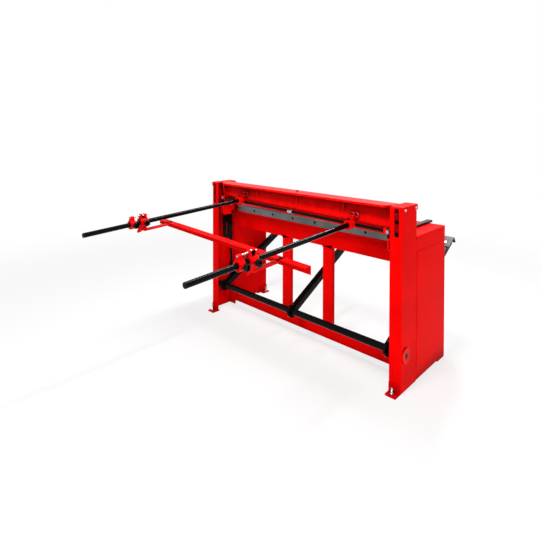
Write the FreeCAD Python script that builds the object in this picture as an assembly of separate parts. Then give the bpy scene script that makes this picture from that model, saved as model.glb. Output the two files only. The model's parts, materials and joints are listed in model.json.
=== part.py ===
import FreeCAD, Part
import math
import os

# Treadle guillotine shear, in millimetres, +Z up. The operator stands at -Y.
# While it is modelled, "depth" is measured from the rear faces of the columns towards the
# operator. The finished pieces are then moved so that the origin lies on the floor,
# under the middle of the whole machine.

# Driving sizes of the frame
machine_height = 1035.0
frame_width = 1649.0
column_depth = 187.0
column_flange = 71.0
column_wall = 6.0
ram_rise = 189.5
table_front = 588.0
table_thickness = 16.0
side_plate_wall = 6.0
side_box_width = 32.5
cover_wall = 3.0
panel_lift = 2.0
panel_gap = 3.0
panel_back = 58.0
panel_drop = 88.5
panel_low_rear = 86.0
panel_low_front = 60.0
foot_plate = 8.0
foot_leg = 58.0
bed_drop = 181.5
bed_wall = 12.0
post_place = 187.0
post_width = 75.0
post_depth = 35.0
cross_bottom = 37.0
cross_height = 70.0
channel_wall = 5.0
rail_height = 85.0
rail_wall = 8.0

# Driving sizes of the blades and of the ram
shear_line = 132.0
rake = math.radians(1.2)
blade_end_gap = 70.0
blade_thickness = 12.0
lower_blade_height = 43.0
upper_blade_height = 48.0
throat = 15.5
blade_screw_pitch = 198.0
blade_screw_offset = -22.0
blade_show = 0.5
blade_gap = 0.1
ram_flange = 14.0
ram_front = 120.0
ram_end_wall = 15.0
ram_side_gap = 18.5
ram_end_rear = 56.0
web_rear = 86.0
web_wall = 18.0
lip_depth = 56.0
lip_rise = 71.0
lip_edge = 8.0
rib_wall = 12.0
rib_pitch = 383.0
rib_middle = -14.0
rib_stand = 14.0
end_chamfer = 40.0
ear_drop = 5.5
ear_wall = 14.0
guide_top_gap = 5.0
guide_rise = 24.5
gib_front = 101.0
gib_wall = 13.0
slide_gap = 0.1

# Driving sizes of the treadle and of the pull links
pivot_depth = 52.8
pivot_height = 205.4
shaft_radius = 21.2
stub_radius = 16.0
bush_wall = 2.5
shaft_gap = 0.05
treadle_rise = math.radians(27.8)
arm_size = 42.0
arm_length = 985.0
tube_wall = 5.0
stub_length = 60.0
arm_middle = 13.0
arm_left_gap = 18.0
arm_right_gap = 4.0
hub_radius = 44.0
hub_wall = 16.0
board_start = 892.0
board_end = 1002.0
board_left_gap = 21.0
board_right_gap = 45.0
board_wall = 5.0
board_lip = 46.0
link_offset = 5.0
link_wall = 12.0
link_top_depth = 121.0
link_drop = 54.5
link_low_depth = 135.0
lug_rise = 33.5
link_low_height = (pivot_height + (link_low_depth - pivot_depth) * math.tan(treadle_rise)
                   + arm_size / 2 / math.cos(treadle_rise) + lug_rise)
pin_radius = 7.0
pin_gap = 0.05
open_pin_gap = 2.5
lug_base_in = 26.0
lug_base_out = 10.0
pull_rod_radius = 10.0
yoke_drop = 19.0
yoke_length = 192.0

# Driving sizes of the back gauge
rod_place = 490.0
rod_radius = 14.0
rod_droop = math.radians(2.9)
rod_rake = math.radians(1.8)
rod_reach = 1175.0
rod_gap = 0.1
hub_depth = -28.0
hub_rise = 61.5
rod_hub_radius = 30.0
block_radius = 28.0
lock_start = 836.0
lock_wall = 32.0
carriage_start = 752.0
carriage_length = 52.0
screw_rise = 43.0
fine_screw_radius = 5.0
arm_drop = 45.0
arm_wall = 11.0
arm_width = 28.0
gauge_front = 560.0
gauge_leg = 44.0
gauge_wall = 5.0
gauge_low_reach = 178.0
gauge_high_reach = 160.0
gauge_seat_gap = 0.1
knob_radius = 18.0
knob_length = 18.0
knob_stand = 11.0

# Driving sizes of the springs and of the hold-down
spring_turns = 9
spring_wire = 2.5
spring_radius = 10.5
spring_length = 280.0
hold_end_gap = 5.0
hold_lift = 26.0
hold_front = 190.0
hold_rear = 150.0
hold_wall = 8.0
cup_radius = 17.0
cup_places = (-500.0, 0.0, 500.0)

# Places and sizes of the details
cap_wall = 5.0
cap_drop = 32.0
cap_strap = 4.0
column_bend = 9.0
slot_inset = 30.5
slot_half = 14.5
slot_low_gap = 3.0
slot_high_gap = 4.0
backing_half = 19.0
backing_wall = 10.0
spring_inset = 21.5
spring_depth = 21.0
spring_seat_half = 13.5
seat_wall = 12.0
gib_screw_drops = (148.0, 78.0, 15.0)
gib_screw_radius = 5.0
guide_bolt_drops = (145.0, 80.0, 16.0)
guide_bolt_depth = 44.0
guide_land = 54.0
guide_land_wall = 5.0
guide_bolt_radius = 5.0
cap_bolt_depths = (31.0, 161.0)
cap_bolt_drop = 19.0
cap_bolt_radius = 5.0
guide_wall = 10.0
guide_rear = 36.0
foot_step_back = 102.0
plate_bottom = 11.0
cover_bend = 4.0
bar_height = 60.5
foot_width = 65.0
foot_inset = 5.5
foot_length = 72.0
stud_inset = 36.5
rear_stud_depth = -30.0
front_stud_back = 33.0
stud_radius = 6.0
stud_height = 48.0
side_gauge_inset = 99.5
side_gauge_width = 35.0
side_gauge_height = 14.5
side_gauge_screw_gaps = (73.0, 233.0, 373.0)
truss_lug_gap = 25.0
truss_drop = 18.5
truss_depth = 36.0
truss_radius = 10.0
fork_rear = 30.0
fork_front = 140.0
fork_drop = 70.5
fork_bridge_drop = 0.5
fork_wall = 12.0
link_side_gap = 1.0
cheek_wall = 5.0
pin_end_gap = 1.5
toe_wall = 14.0
hub_start = 4.0
hub_end = 50.0
hub_collar = 28.0
hub_neck_radius = 26.5
hub_socket = 46.0
set_screw_place = 16.0
pad_rise = 19.5
pad_height = 38.0
pad_wall = 12.0
pad_half = 27.0
pad_screw_place = 16.5
pad_screw_rise = 39.5
cup_height = 77.0
cup_drop = 23.0
post_radius = 9.0
knob_stud = 5.0
nut_wall = 10.0
nut_radius = 10.0

# Values worked out from the sizes above
table_height = machine_height - ram_rise
half_width = frame_width / 2
flange_edge = half_width - column_flange
web_inner = half_width - column_wall
side_inner = half_width - side_box_width
bed_rear = column_depth
foot_step = table_front - foot_step_back
panel_front = table_front - panel_back
panel_top = table_height - panel_drop
bed_bottom = table_height - bed_drop
bar_bottom = table_height - bar_height
front_stud_depth = table_front - front_stud_back
stud_place = half_width - stud_inset
foot_outer = half_width - foot_inset
foot_inner = foot_outer - foot_width
slot_place = half_width - slot_inset
spring_place = half_width - spring_inset
side_gauge_left = side_gauge_inset - half_width
side_gauge_screws_at = [bed_rear + gap for gap in side_gauge_screw_gaps]
ram_half = flange_edge - ram_side_gap
blade_length = 2 * (ram_half - blade_end_gap)
hold_half = blade_length / 2 - hold_end_gap
link_place = ram_half + link_offset
link_top_height = table_height - link_drop
lug_base_inner = link_place - lug_base_in
lug_base_outer = link_place + lug_base_out
arm_places = (arm_left_gap - ram_half, arm_middle, ram_half - arm_right_gap)
board_left = -ram_half - board_left_gap
board_right = ram_half + board_right_gap
gauge_low_end = rod_place + gauge_low_reach
gauge_high_end = rod_place + gauge_high_reach
guide_top = machine_height - guide_top_gap
guide_bottom = table_height + guide_rise
slot_bottom = guide_bottom - slot_low_gap
slot_top = guide_top - slot_high_gap
gib_screw_heights = [guide_top - drop for drop in gib_screw_drops]
guide_bolt_heights = [guide_top - drop for drop in guide_bolt_drops]
cap_bolt_height = machine_height - cap_bolt_drop
lip_height = table_height + lip_rise
truss_lug = ram_half - truss_lug_gap
truss_height = lip_height - truss_drop
hub_height = table_height + hub_rise
pad_low = lip_height + pad_rise
pad_high = pad_low + pad_height
pad_screw_height = lip_height + pad_screw_rise
cup_high = machine_height - cup_drop
cup_low = cup_high - cup_height
ear_low = table_height - ear_drop
spring_top = ear_low
spring_foot = spring_top - spring_length
fork_low = table_height - fork_drop
fork_bridge = table_height - fork_bridge_drop
slope = math.tan(rake)
blade_edge = table_height + throat
bearing_bore = stub_radius + shaft_gap + bush_wall
flange_low = machine_height - ram_flange
lower_screw_height = table_height - lower_blade_height / 2 + 2.5
web_lean = (web_rear - lip_depth) / (flange_low - lip_height - lip_edge)


def vec(x, depth, z):
    return FreeCAD.Vector(x, -depth, z)


def block(x0, x1, d0, d1, z0, z1):
    corner = vec(min(x0, x1), max(d0, d1), min(z0, z1))
    return Part.makeBox(abs(x1 - x0), abs(d1 - d0), abs(z1 - z0), corner)


def across(points, x0, x1):
    """A (depth, z) outline made solid from x0 to x1."""
    wire = Part.makePolygon([vec(x0, d, z) for d, z in points + points[:1]])
    return Part.Face(wire).extrude(FreeCAD.Vector(x1 - x0, 0, 0))


def upright(points, z0, z1):
    """An (x, depth) outline made solid from z0 to z1."""
    wire = Part.makePolygon([vec(x, d, z0) for x, d in points + points[:1]])
    return Part.Face(wire).extrude(FreeCAD.Vector(0, 0, z1 - z0))


def bar(start, end, radius):
    a = vec(*start)
    b = vec(*end)
    return Part.makeCylinder(radius, (b - a).Length, a, b - a)


def join(pieces):
    whole = pieces[0].multiFuse(pieces[1:]) if len(pieces) > 1 else pieces[0]
    return whole.removeSplitter()


def cut(shape, tools):
    for tool in tools:
        shape = shape.cut(tool)
    return shape


def group(pieces):
    return Part.makeCompound(pieces)


def mirrored(shape):
    return shape.mirror(FreeCAD.Vector(0, 0, 0), FreeCAD.Vector(1, 0, 0))


def rounded(shape, radius, wanted):
    """Rounds the edges whose middle point passes the test."""
    edges = [e for e in shape.Edges if wanted(e.CenterOfMass)]
    return shape.makeFillet(radius, edges) if edges else shape


def hexagon(start, end, across_flats):
    """A hexagon bar between two (x, depth, z) points."""
    a = vec(*start)
    axis = vec(*end) - a
    radius = across_flats / math.sqrt(3)
    corners = [FreeCAD.Vector(radius * math.cos(i * math.pi / 3), radius * math.sin(i * math.pi / 3), 0)
               for i in range(7)]
    prism = Part.Face(Part.makePolygon(corners)).extrude(FreeCAD.Vector(0, 0, axis.Length))
    turn = FreeCAD.Rotation(FreeCAD.Vector(0, 0, 1), axis)
    prism.Placement = FreeCAD.Placement(a, turn)
    return prism


def ram_line(height, x):
    """The height of a raked line of the ram at a place along the machine."""
    return height + x * slope


# Frame

def column(side):
    top = machine_height - cap_wall
    outline = [(half_width, 0), (flange_edge, 0), (flange_edge, column_wall), (web_inner, column_wall),
               (web_inner, column_depth - column_wall), (flange_edge, column_depth - column_wall),
               (flange_edge, column_depth), (half_width, column_depth)]
    body = upright(outline, foot_plate, top)
    body = rounded(body, column_bend, lambda c: abs(c.x - half_width) < 0.01 and c.z < top - 1
                   and c.z > foot_plate + 1 and min(abs(c.y), abs(c.y + column_depth)) < 0.01)
    ends = (slot_bottom + slot_half, slot_top - slot_half)
    slot = join([block(slot_place - slot_half, slot_place + slot_half, -1, column_wall + 1, ends[0], ends[1])]
                + [bar((slot_place, -1, z), (slot_place, column_wall + 1, z), slot_half) for z in ends])
    backing = block(slot_place - backing_half, web_inner, column_wall, column_wall + backing_wall,
                    guide_bottom - 10, guide_top)
    seat = block(spring_place - spring_seat_half, web_inner, column_wall, spring_depth + spring_seat_half,
                 spring_foot - seat_wall, spring_foot)
    shaft_hole = bar((web_inner - 1, pivot_depth, pivot_height),
                     (half_width + 1, pivot_depth, pivot_height), bearing_bore)
    body = cut(body, [slot, shaft_hole])
    square = block(half_width - column_bend, half_width, column_depth - column_wall, column_depth,
                   plate_bottom, table_height - table_thickness)
    body = join([body, backing, seat, square])
    body = cut(body, [gib_screw_shank(z) for z in gib_screw_heights])
    body = cut(body, [guide_bolt_shank(z) for z in guide_bolt_heights])
    body = cut(body, [cap_bolt_shank(d) for d in cap_bolt_depths])
    return body if side > 0 else mirrored(body)


def gib_screw_shank(z):
    return bar((slot_place, column_wall - 1, z), (slot_place, gib_front - gib_wall, z), gib_screw_radius)


def guide_bolt_shank(z):
    return bar((web_inner + 3.5, guide_bolt_depth, z), (web_inner - guide_wall, guide_bolt_depth, z),
               guide_bolt_radius)


def cap_bolt_shank(depth):
    return bar((half_width + cap_strap, depth, cap_bolt_height), (web_inner, depth, cap_bolt_height),
               cap_bolt_radius)


def column_caps():
    top = block(flange_edge, half_width + cap_strap, 0, column_depth, machine_height - cap_wall, machine_height)
    lip = block(half_width, half_width + cap_strap, 0, column_depth, machine_height - cap_drop, machine_height)
    cap = cut(join([top, lip]), [cap_bolt_shank(d) for d in cap_bolt_depths])
    return group([cap, mirrored(cap)])


def screw(place, direction, radius, length, head_size, head_height):
    """A hexagon-headed screw whose head rests at place and whose shank runs along direction."""
    x, d, z = place
    dx, dd, dz = direction
    end = (x + dx * length, d + dd * length, z + dz * length)
    top = (x - dx * head_height, d - dd * head_height, z - dz * head_height)
    return join([bar(place, end, radius), hexagon(top, place, head_size)])


def round_screw(place, direction, radius, length, head_radius, head_height, socket=0.55):
    """A socket-headed screw whose head rests at place."""
    x, d, z = place
    dx, dd, dz = direction
    end = (x + dx * length, d + dd * length, z + dz * length)
    top = (x - dx * head_height, d - dd * head_height, z - dz * head_height)
    low = (x - dx * head_height * 0.45, d - dd * head_height * 0.45, z - dz * head_height * 0.45)
    body = join([bar(place, end, radius), bar(top, place, head_radius)])
    return body.cut(hexagon(low, top, head_radius * 2 * socket))


def both_sides(pieces):
    return group(pieces + [mirrored(p) for p in pieces])


def cap_bolts():
    place = half_width + cap_strap
    return both_sides([screw((place, d, cap_bolt_height), (-1, 0, 0), cap_bolt_radius, cap_strap + column_wall,
                             15, 5) for d in cap_bolt_depths])


def gib_screws():
    length = gib_front - gib_wall - column_wall
    return both_sides([screw((slot_place, column_wall, z), (0, 1, 0), gib_screw_radius, length, 17, 7)
                       for z in gib_screw_heights])


def guide_bolts():
    """Screws that hold each guide strip to the column web, with their heads on the strip."""
    place = web_inner - guide_wall
    return both_sides([screw((place, guide_bolt_depth, z), (1, 0, 0), guide_bolt_radius,
                             guide_wall + 3.5, 15, 5) for z in guide_bolt_heights])


def ram_guides():
    strip = block(web_inner - guide_wall, web_inner, guide_rear, gib_front - gib_wall - slide_gap,
                  guide_bottom, guide_top)
    land = block(web_inner - guide_wall - guide_land_wall, web_inner - guide_wall, guide_land,
                 gib_front - gib_wall - slide_gap, guide_bottom, guide_top)
    strip = join([cut(strip, [guide_bolt_shank(z) for z in guide_bolt_heights]), land])
    return both_sides([strip])


def gib_strips():
    strip = block(slot_place - backing_half, web_inner, gib_front - gib_wall, gib_front,
                  guide_bottom, guide_top)
    return both_sides([strip])


def side_plate(side):
    """The upright plate beside the treadle, with its front foot."""
    outline = [(bed_rear, plate_bottom), (foot_step, plate_bottom), (foot_step, 0), (table_front, 0),
               (table_front, table_height - table_thickness), (bed_rear, table_height - table_thickness)]
    plate = across(outline, side_inner, side_inner + side_plate_wall)
    return plate if side > 0 else mirrored(plate)


def side_cover(side):
    """The pan that boxes the side frame in, with its raised outer panel and the front foot."""
    top = table_height - table_thickness
    inner = side_inner + side_plate_wall
    outer = block(inner, half_width, bed_rear, table_front, plate_bottom, top)
    outer = rounded(outer, cover_bend, lambda c: abs(c.x - half_width) < 0.01 and abs(c.y + table_front) < 0.01)
    hollow = block(inner - 1, half_width - cover_wall, bed_rear + cover_wall, table_front - cover_wall,
                   plate_bottom + cover_wall, top - cover_wall)
    foot = block(inner, half_width, foot_step, table_front - cover_bend, 0, plate_bottom)
    rear = bed_rear + panel_gap
    panel = across([(rear, panel_low_rear), (panel_front, panel_low_front), (panel_front, panel_top),
                    (rear, panel_top)], half_width, half_width + panel_lift)
    pan = join([outer.cut(hollow), foot, panel])
    return pan if side > 0 else mirrored(pan)


def table_top():
    plate = block(-half_width, half_width, bed_rear, table_front, table_height - table_thickness, table_height)
    return cut(plate, [gauge_screw_hole(d) for d in side_gauge_screws_at])


def blade_bar():
    seat = block(-blade_length / 2, blade_length / 2, shear_line + blade_thickness, bed_rear,
                 bar_bottom, table_height)
    seat = rounded(seat, 3.0, lambda c: abs(c.y + bed_rear) > 1 and abs(c.z - bar_bottom) < 0.01
                   and abs(c.x) < 1)
    return cut(seat, [lower_screw_hole(x) for x in blade_screw_places()])


def blade_screw_places():
    count = int((blade_length / 2 - 60) // blade_screw_pitch)
    return [blade_screw_offset + (i + 0.5) * blade_screw_pitch for i in range(-count, count)]


def lower_screw_hole(x):
    z = lower_screw_height
    return bar((x, shear_line - 1, z), (x, shear_line + 30, z), 5.0)


def lower_blade():
    piece = block(-blade_length / 2, blade_length / 2, shear_line, shear_line + blade_thickness,
                  table_height - lower_blade_height, table_height)
    for x in blade_screw_places():
        z = lower_screw_height
        sink = Part.makeCone(9.0, 5.0, 5.0, vec(x, shear_line, z), FreeCAD.Vector(0, -1, 0))
        piece = cut(piece, [lower_screw_hole(x), sink])
    return piece


def sunk_screw(x, depth, z, side, length):
    """A countersunk socket screw; side is +1 when it points to the operator."""
    point = vec(x, depth, z)
    way = FreeCAD.Vector(0, -side, 0)
    head = Part.makeCone(8.8, 5.0, 4.8, point + way * 0.2, way)
    shank = Part.makeCylinder(4.9, length, point + way * 0.2, way)
    key = hexagon((x, depth, z), (x, depth + side * 3.5, z), 6.0)
    return join([head, shank]).cut(key)


def lower_blade_screws():
    z = lower_screw_height
    return group([sunk_screw(x, shear_line, z, 1, 29) for x in blade_screw_places()])


def bed_web():
    """The plate under the table, with the two ribs that brace it."""
    top = table_height - table_thickness
    plate = block(-side_inner, side_inner, bed_rear, bed_rear + bed_wall, bed_bottom, top)
    pieces = [plate]
    for x in (-post_place, post_place):
        rib = [(bed_rear + bed_wall, bed_bottom), (bed_rear + bed_wall, top),
               (table_front - 120, top), (table_front - 120, top - 30), (bed_rear + 60, bed_bottom)]
        pieces.append(across(rib, x - rib_wall / 2, x + rib_wall / 2))
    for x in (-post_place, post_place):
        for side in (-1, 1):
            edge = x + side * post_width / 2
            pieces.append(corner_fillet(edge, side))
    return join(pieces)


def corner_fillet(edge, side):
    """The rounded corner between a post and the lower edge of the bed plate."""
    r = 15.0
    a = vec(edge, bed_rear, bed_bottom)
    b = vec(edge + side * r, bed_rear, bed_bottom)
    c = vec(edge, bed_rear, bed_bottom - r)
    middle = vec(edge + side * r * (1 - math.sqrt(0.5)), bed_rear, bed_bottom - r * (1 - math.sqrt(0.5)))
    wire = Part.Wire([Part.makeLine(a, b), Part.Arc(b, middle, c).toShape(), Part.makeLine(c, a)])
    return Part.Face(wire).extrude(FreeCAD.Vector(0, -bed_wall, 0))


def post(side):
    x = side * post_place
    piece = block(x - post_width / 2, x + post_width / 2, bed_rear, bed_rear + post_depth,
                  cross_bottom + cross_height, bed_bottom)
    hollow = block(x - post_width / 2 + channel_wall, x + post_width / 2 - channel_wall,
                   bed_rear + channel_wall, bed_rear + post_depth + 1, cross_bottom, bed_bottom)
    return piece.cut(hollow)


def cross_member():
    """The channel that ties the side plates together near the floor, open towards the front."""
    top = cross_bottom + cross_height
    beam = block(-side_inner, side_inner, bed_rear, bed_rear + post_depth, cross_bottom, top)
    return beam.cut(block(-side_inner - 1, side_inner + 1, bed_rear + channel_wall, bed_rear + post_depth + 1,
                          cross_bottom + channel_wall, top - channel_wall))


def front_rail():
    top = table_height - table_thickness
    rail = block(-side_inner, side_inner, table_front - rail_wall, table_front, top - rail_height, top)
    foot = block(-side_inner, side_inner, table_front - 40, table_front, top - rail_height,
                 top - rail_height + rail_wall)
    return join([rail, foot])


def rear_feet():
    base = block(foot_inner, foot_outer, -50, 17, 0, foot_plate)
    leg = block(foot_inner, foot_outer, -6, 0, foot_plate, foot_leg)
    foot = join([base, leg])
    foot = rounded(foot, 6.0, lambda c: abs(c.y - 50) < 0.01 and abs(c.z - foot_plate / 2) < 0.1)
    foot = foot.cut(stud(stud_place, rear_stud_depth, 0))
    return both_sides([foot])


def front_feet():
    base = block(side_inner - 40, side_inner, table_front - foot_length, table_front, 0, foot_plate)
    leg = block(side_inner - 6, side_inner, table_front - foot_length, table_front,
                foot_plate, foot_leg)
    foot = join([base, leg])
    foot = foot.cut(stud(side_inner - 24, front_stud_depth, 0))
    return both_sides([foot])


def stud(x, depth, low):
    return bar((x, depth, low), (x, depth, stud_height), stud_radius)


def levelling_screws():
    pieces = []
    for x, d in ((stud_place, rear_stud_depth), (side_inner - 24, front_stud_depth)):
        pieces.append(stud(x, d, 0.5))
        nut = hexagon((x, d, foot_plate), (x, d, foot_plate + 10), 19)
        pieces.append(nut.cut(stud(x, d, 0)))
    return both_sides(pieces)


def bearing_flanges():
    """The boss on the outer side of each column, round the end of the treadle shaft."""
    outer = half_width + 8
    boss = bar((half_width, pivot_depth, pivot_height), (outer, pivot_depth, pivot_height), hub_radius)
    boss = rounded(boss, 2.0, lambda c: abs(c.x - outer) < 0.01)
    bore = bar((half_width - 1, pivot_depth, pivot_height), (outer + 1, pivot_depth, pivot_height), bearing_bore)
    return both_sides([boss.cut(bore)])


def shaft_bushes():
    outer = half_width + 7
    tube = bar((web_inner, pivot_depth, pivot_height), (outer, pivot_depth, pivot_height), bearing_bore)
    bore = bar((web_inner - 1, pivot_depth, pivot_height), (outer + 1, pivot_depth, pivot_height),
               stub_radius + shaft_gap)
    return both_sides([tube.cut(bore)])


def gauge_screw_hole(depth):
    x = side_gauge_left + side_gauge_width / 2
    return bar((x, depth, table_height - table_thickness + 2), (x, depth, table_height + side_gauge_height), 4.0)


def side_gauge():
    piece = block(side_gauge_left, side_gauge_left + side_gauge_width, bed_rear + 14, table_front + 37,
                  table_height, table_height + side_gauge_height)
    piece = piece.makeChamfer(1.0, [e for e in piece.Edges if abs(e.CenterOfMass.z - table_height
                                                                  - side_gauge_height) < 0.01])
    tools = []
    x = side_gauge_left + side_gauge_width / 2
    for d in side_gauge_screws_at:
        tools.append(gauge_screw_hole(d))
        tools.append(bar((x, d, table_height + 6.5), (x, d, table_height + side_gauge_height + 1), 7.0))
    return cut(piece, tools)


def side_gauge_screws():
    x = side_gauge_left + side_gauge_width / 2
    return group([round_screw((x, d, table_height + 6.5), (0, 0, -1), 4.0, table_thickness + 2, 6.6, 7.0)
                  for d in side_gauge_screws_at])


# Ram

def web_depth(x, z):
    """The depth of the leaning rear face of the web, at a place along the ram and a height."""
    return lip_depth + (z - lip_edge - ram_line(lip_height, x)) * web_lean


def flange_section(x):
    return [(0, machine_height), (0, flange_low), (ram_front, flange_low), (ram_front, machine_height)]


def web_section(x):
    lip = ram_line(lip_height, x)
    top = web_depth(x, flange_low)
    return [(top, flange_low), (lip_depth, lip + lip_edge), (lip_depth, lip), (ram_front, lip),
            (ram_front, lip + 22), (web_depth(x, lip + 46) + web_wall, lip + 46), (top + web_wall, flange_low)]


def seat_section(x):
    lip = ram_line(lip_height, x)
    low = ram_line(blade_edge + blade_show, x)
    return [(ram_front - 22, lip), (ram_front - 22, low), (ram_front, low), (ram_front, lip)]


def ram_plate(section):
    """A plate of the beam, closed by flat faces between its two end sections."""
    ends = [[vec(x, d, z) for d, z in section(x)] for x in (-ram_half, ram_half)]
    faces = [Part.Face(Part.makePolygon(points + points[:1])) for points in ends]
    for i in range(len(ends[0])):
        j = (i + 1) % len(ends[0])
        corners = [ends[0][i], ends[0][j], ends[1][j], ends[1][i]]
        faces.append(Part.Face(Part.makePolygon(corners + corners[:1])))
    return Part.makeSolid(Part.makeShell(faces))


def ram_plates():
    """The flange, the web and the blade seat before any of them is drilled."""
    return [ram_plate(section) for section in (flange_section, web_section, seat_section)]


def ram_rib(x):
    """A plate rib that stands out of the web, between the flange and the lip."""
    lip = ram_line(lip_height, x)
    top = web_depth(x, flange_low)
    outline = [(top + 2, flange_low), (top - rib_stand, flange_low), (lip_depth, lip + lip_edge - 2),
               (lip_depth + 6, lip + lip_edge - 2)]
    return across(outline, x - rib_wall / 2, x + rib_wall / 2)


def flange_corner(side):
    """What the flange loses at each end, so that it passes the column."""
    end = side * (ram_half + 1)
    return upright([(side * (ram_half - end_chamfer), -1), (end, -1), (end, end_chamfer)],
                   flange_low - 1, machine_height + 1)


def rod_lug(x):
    """The lug under the lip that holds an end of the truss rod."""
    z = ram_line(truss_height, x)
    plate = block(x - 10, x + 10, truss_depth - 15, ram_front - 22, z - 2, ram_line(lip_height + 1, x))
    return join([plate, bar((x - 10, truss_depth, z), (x + 10, truss_depth, z), 15.5)])


def ram_beam():
    """The raked beam, welded of a top flange, a web with a flared lip and ribs, a blade seat and two lugs."""
    flange, web, seat = ram_plates()
    flange = cut(flange, [flange_corner(-1), flange_corner(1)])
    web = join([web] + [ram_rib(rib_middle + i * rib_pitch) for i in (-1, 0, 1)])
    seat = cut(seat, [upper_screw_hole(x) for x in blade_screw_places()])
    lugs = [cut(rod_lug(side * truss_lug), [web, truss_line(truss_radius)]) for side in (-1, 1)]
    return group([flange, web, seat] + lugs)


def truss_line(radius):
    low = (-truss_lug - 32, truss_depth, ram_line(truss_height, -truss_lug - 32))
    high = (truss_lug + 32, truss_depth, ram_line(truss_height, truss_lug + 32))
    return bar(low, high, radius)


def along_truss(x0, x1, size):
    return hexagon((x0, truss_depth, ram_line(truss_height, x0)), (x1, truss_depth, ram_line(truss_height, x1)),
                   size)


def truss_fittings():
    """The two end nuts and the middle adjuster of the truss rod."""
    hole = truss_line(truss_radius)
    nuts = [along_truss(-truss_lug - 26, -truss_lug - 10.5, 30), along_truss(truss_lug + 10.5, truss_lug + 26, 30),
            along_truss(-4, 34, 30)]
    return group([n.cut(hole) for n in nuts])


def upper_screw_hole(x):
    z = ram_line(blade_edge + upper_blade_height / 2, x)
    return bar((x, ram_front - 30, z), (x, shear_line, z), 5.0)


def upper_blade():
    half = blade_length / 2
    rear = ram_front
    front = shear_line - blade_gap
    low = ram_line(blade_edge, -half)
    high = ram_line(blade_edge, half)
    wire = Part.makePolygon([vec(-half, rear, low), vec(half, rear, high),
                             vec(half, rear, high + upper_blade_height),
                             vec(-half, rear, low + upper_blade_height), vec(-half, rear, low)])
    piece = Part.Face(wire).extrude(FreeCAD.Vector(0, rear - front, 0))
    for x in blade_screw_places():
        z = ram_line(blade_edge + upper_blade_height / 2, x)
        sink = Part.makeCone(9.0, 5.0, 5.0, vec(x, front, z), FreeCAD.Vector(0, 1, 0))
        piece = cut(piece, [upper_screw_hole(x), sink])
    return piece


def upper_blade_screws():
    return group([sunk_screw(x, shear_line - blade_gap, ram_line(blade_edge + upper_blade_height / 2, x), -1, 28)
                  for x in blade_screw_places()])


def ram_end(side):
    """The casting at each end of the ram: end wall, guided ear, spring toe and link fork."""
    inner = ram_half
    outer = ram_half + ram_end_wall
    ear_front = column_depth - column_wall - slide_gap
    ear_rear = gib_front + slide_gap
    wall = across([(end_chamfer, machine_height), (ram_front, machine_height), (ram_front, guide_top - 2),
                   (ear_front, guide_top - 2), (ear_front, ear_low), (fork_rear, ear_low),
                   (fork_rear, ear_low + 14), (ram_end_rear, ear_low + 34), (ram_end_rear, lip_height + 8.5)], inner, outer)
    ear = block(outer, web_inner - 2.5, ear_rear, ear_front, ear_low, guide_top - 2)
    pocket = block(outer + ear_wall, web_inner, ear_rear + ear_wall, ear_front - ear_wall,
                   ear_low + ear_wall, guide_top - 2 - ear_wall)
    toe = block(spring_place - spring_seat_half + 1, web_inner - 2.5, column_wall + 2, ear_rear,
                spring_top, spring_top + toe_wall)
    near, far = fork_sides()
    fork_outline = [(fork_rear, fork_low + 12), (fork_rear, fork_bridge), (fork_front, fork_bridge),
                    (fork_front, fork_low + 12), (fork_front - 12, fork_low), (fork_rear + 12, fork_low)]
    cheeks = [across(fork_outline, near - fork_wall, near), across(fork_outline, far, far + fork_wall)]
    bridge = block(near - fork_wall, far + fork_wall, fork_rear, fork_front, fork_bridge - 12, fork_bridge)
    hole = bar((near - 20, link_top_depth, link_top_height), (far + 20, link_top_depth, link_top_height),
               pin_radius)
    body = join([wall, ear, toe, bridge] + cheeks)
    body = cut(body, [pocket, hole])
    return body if side > 0 else mirrored(body)


def fork_sides():
    """The two inner faces of the fork that takes the pull link."""
    half = link_wall / 2 + link_side_gap
    return link_place - half, link_place + half


def link_pins():
    near, far = fork_sides()
    pin = bar((near - fork_wall, link_top_depth, link_top_height),
              (far + fork_wall, link_top_depth, link_top_height), pin_radius)
    head = bar((near - fork_wall - 5, link_top_depth, link_top_height),
               (near - fork_wall, link_top_depth, link_top_height), pin_radius + 4)
    return both_sides([join([pin, head])])


def rod_line(x):
    """The height of the plane of the two gauge rods at a place along the machine."""
    return hub_height + x * math.tan(rod_rake)


def rod_point(side, depth=hub_depth):
    """A point of a gauge rod's axis at a given depth."""
    x = side * rod_place
    return vec(x, depth, rod_line(x) + (depth - hub_depth) * math.tan(rod_droop))


def raked(shape):
    """Turns a piece in the rod's own frame so that it lies flat under the gauge bar."""
    turned = shape.copy()
    turned.rotate(FreeCAD.Vector(0, 0, 0), FreeCAD.Vector(0, 1, 0), -math.degrees(rod_rake))
    return turned


def on_rod(shape, side):
    """Moves a shape from the rod's own frame, where it lies along depth, to its place."""
    moved = shape.copy()
    moved.rotate(FreeCAD.Vector(0, 0, 0), FreeCAD.Vector(1, 0, 0), -math.degrees(rod_droop))
    moved.translate(rod_point(side))
    return moved


def rod_pair(shape):
    return group([on_rod(shape, -1), on_rod(shape, 1)])


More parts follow.
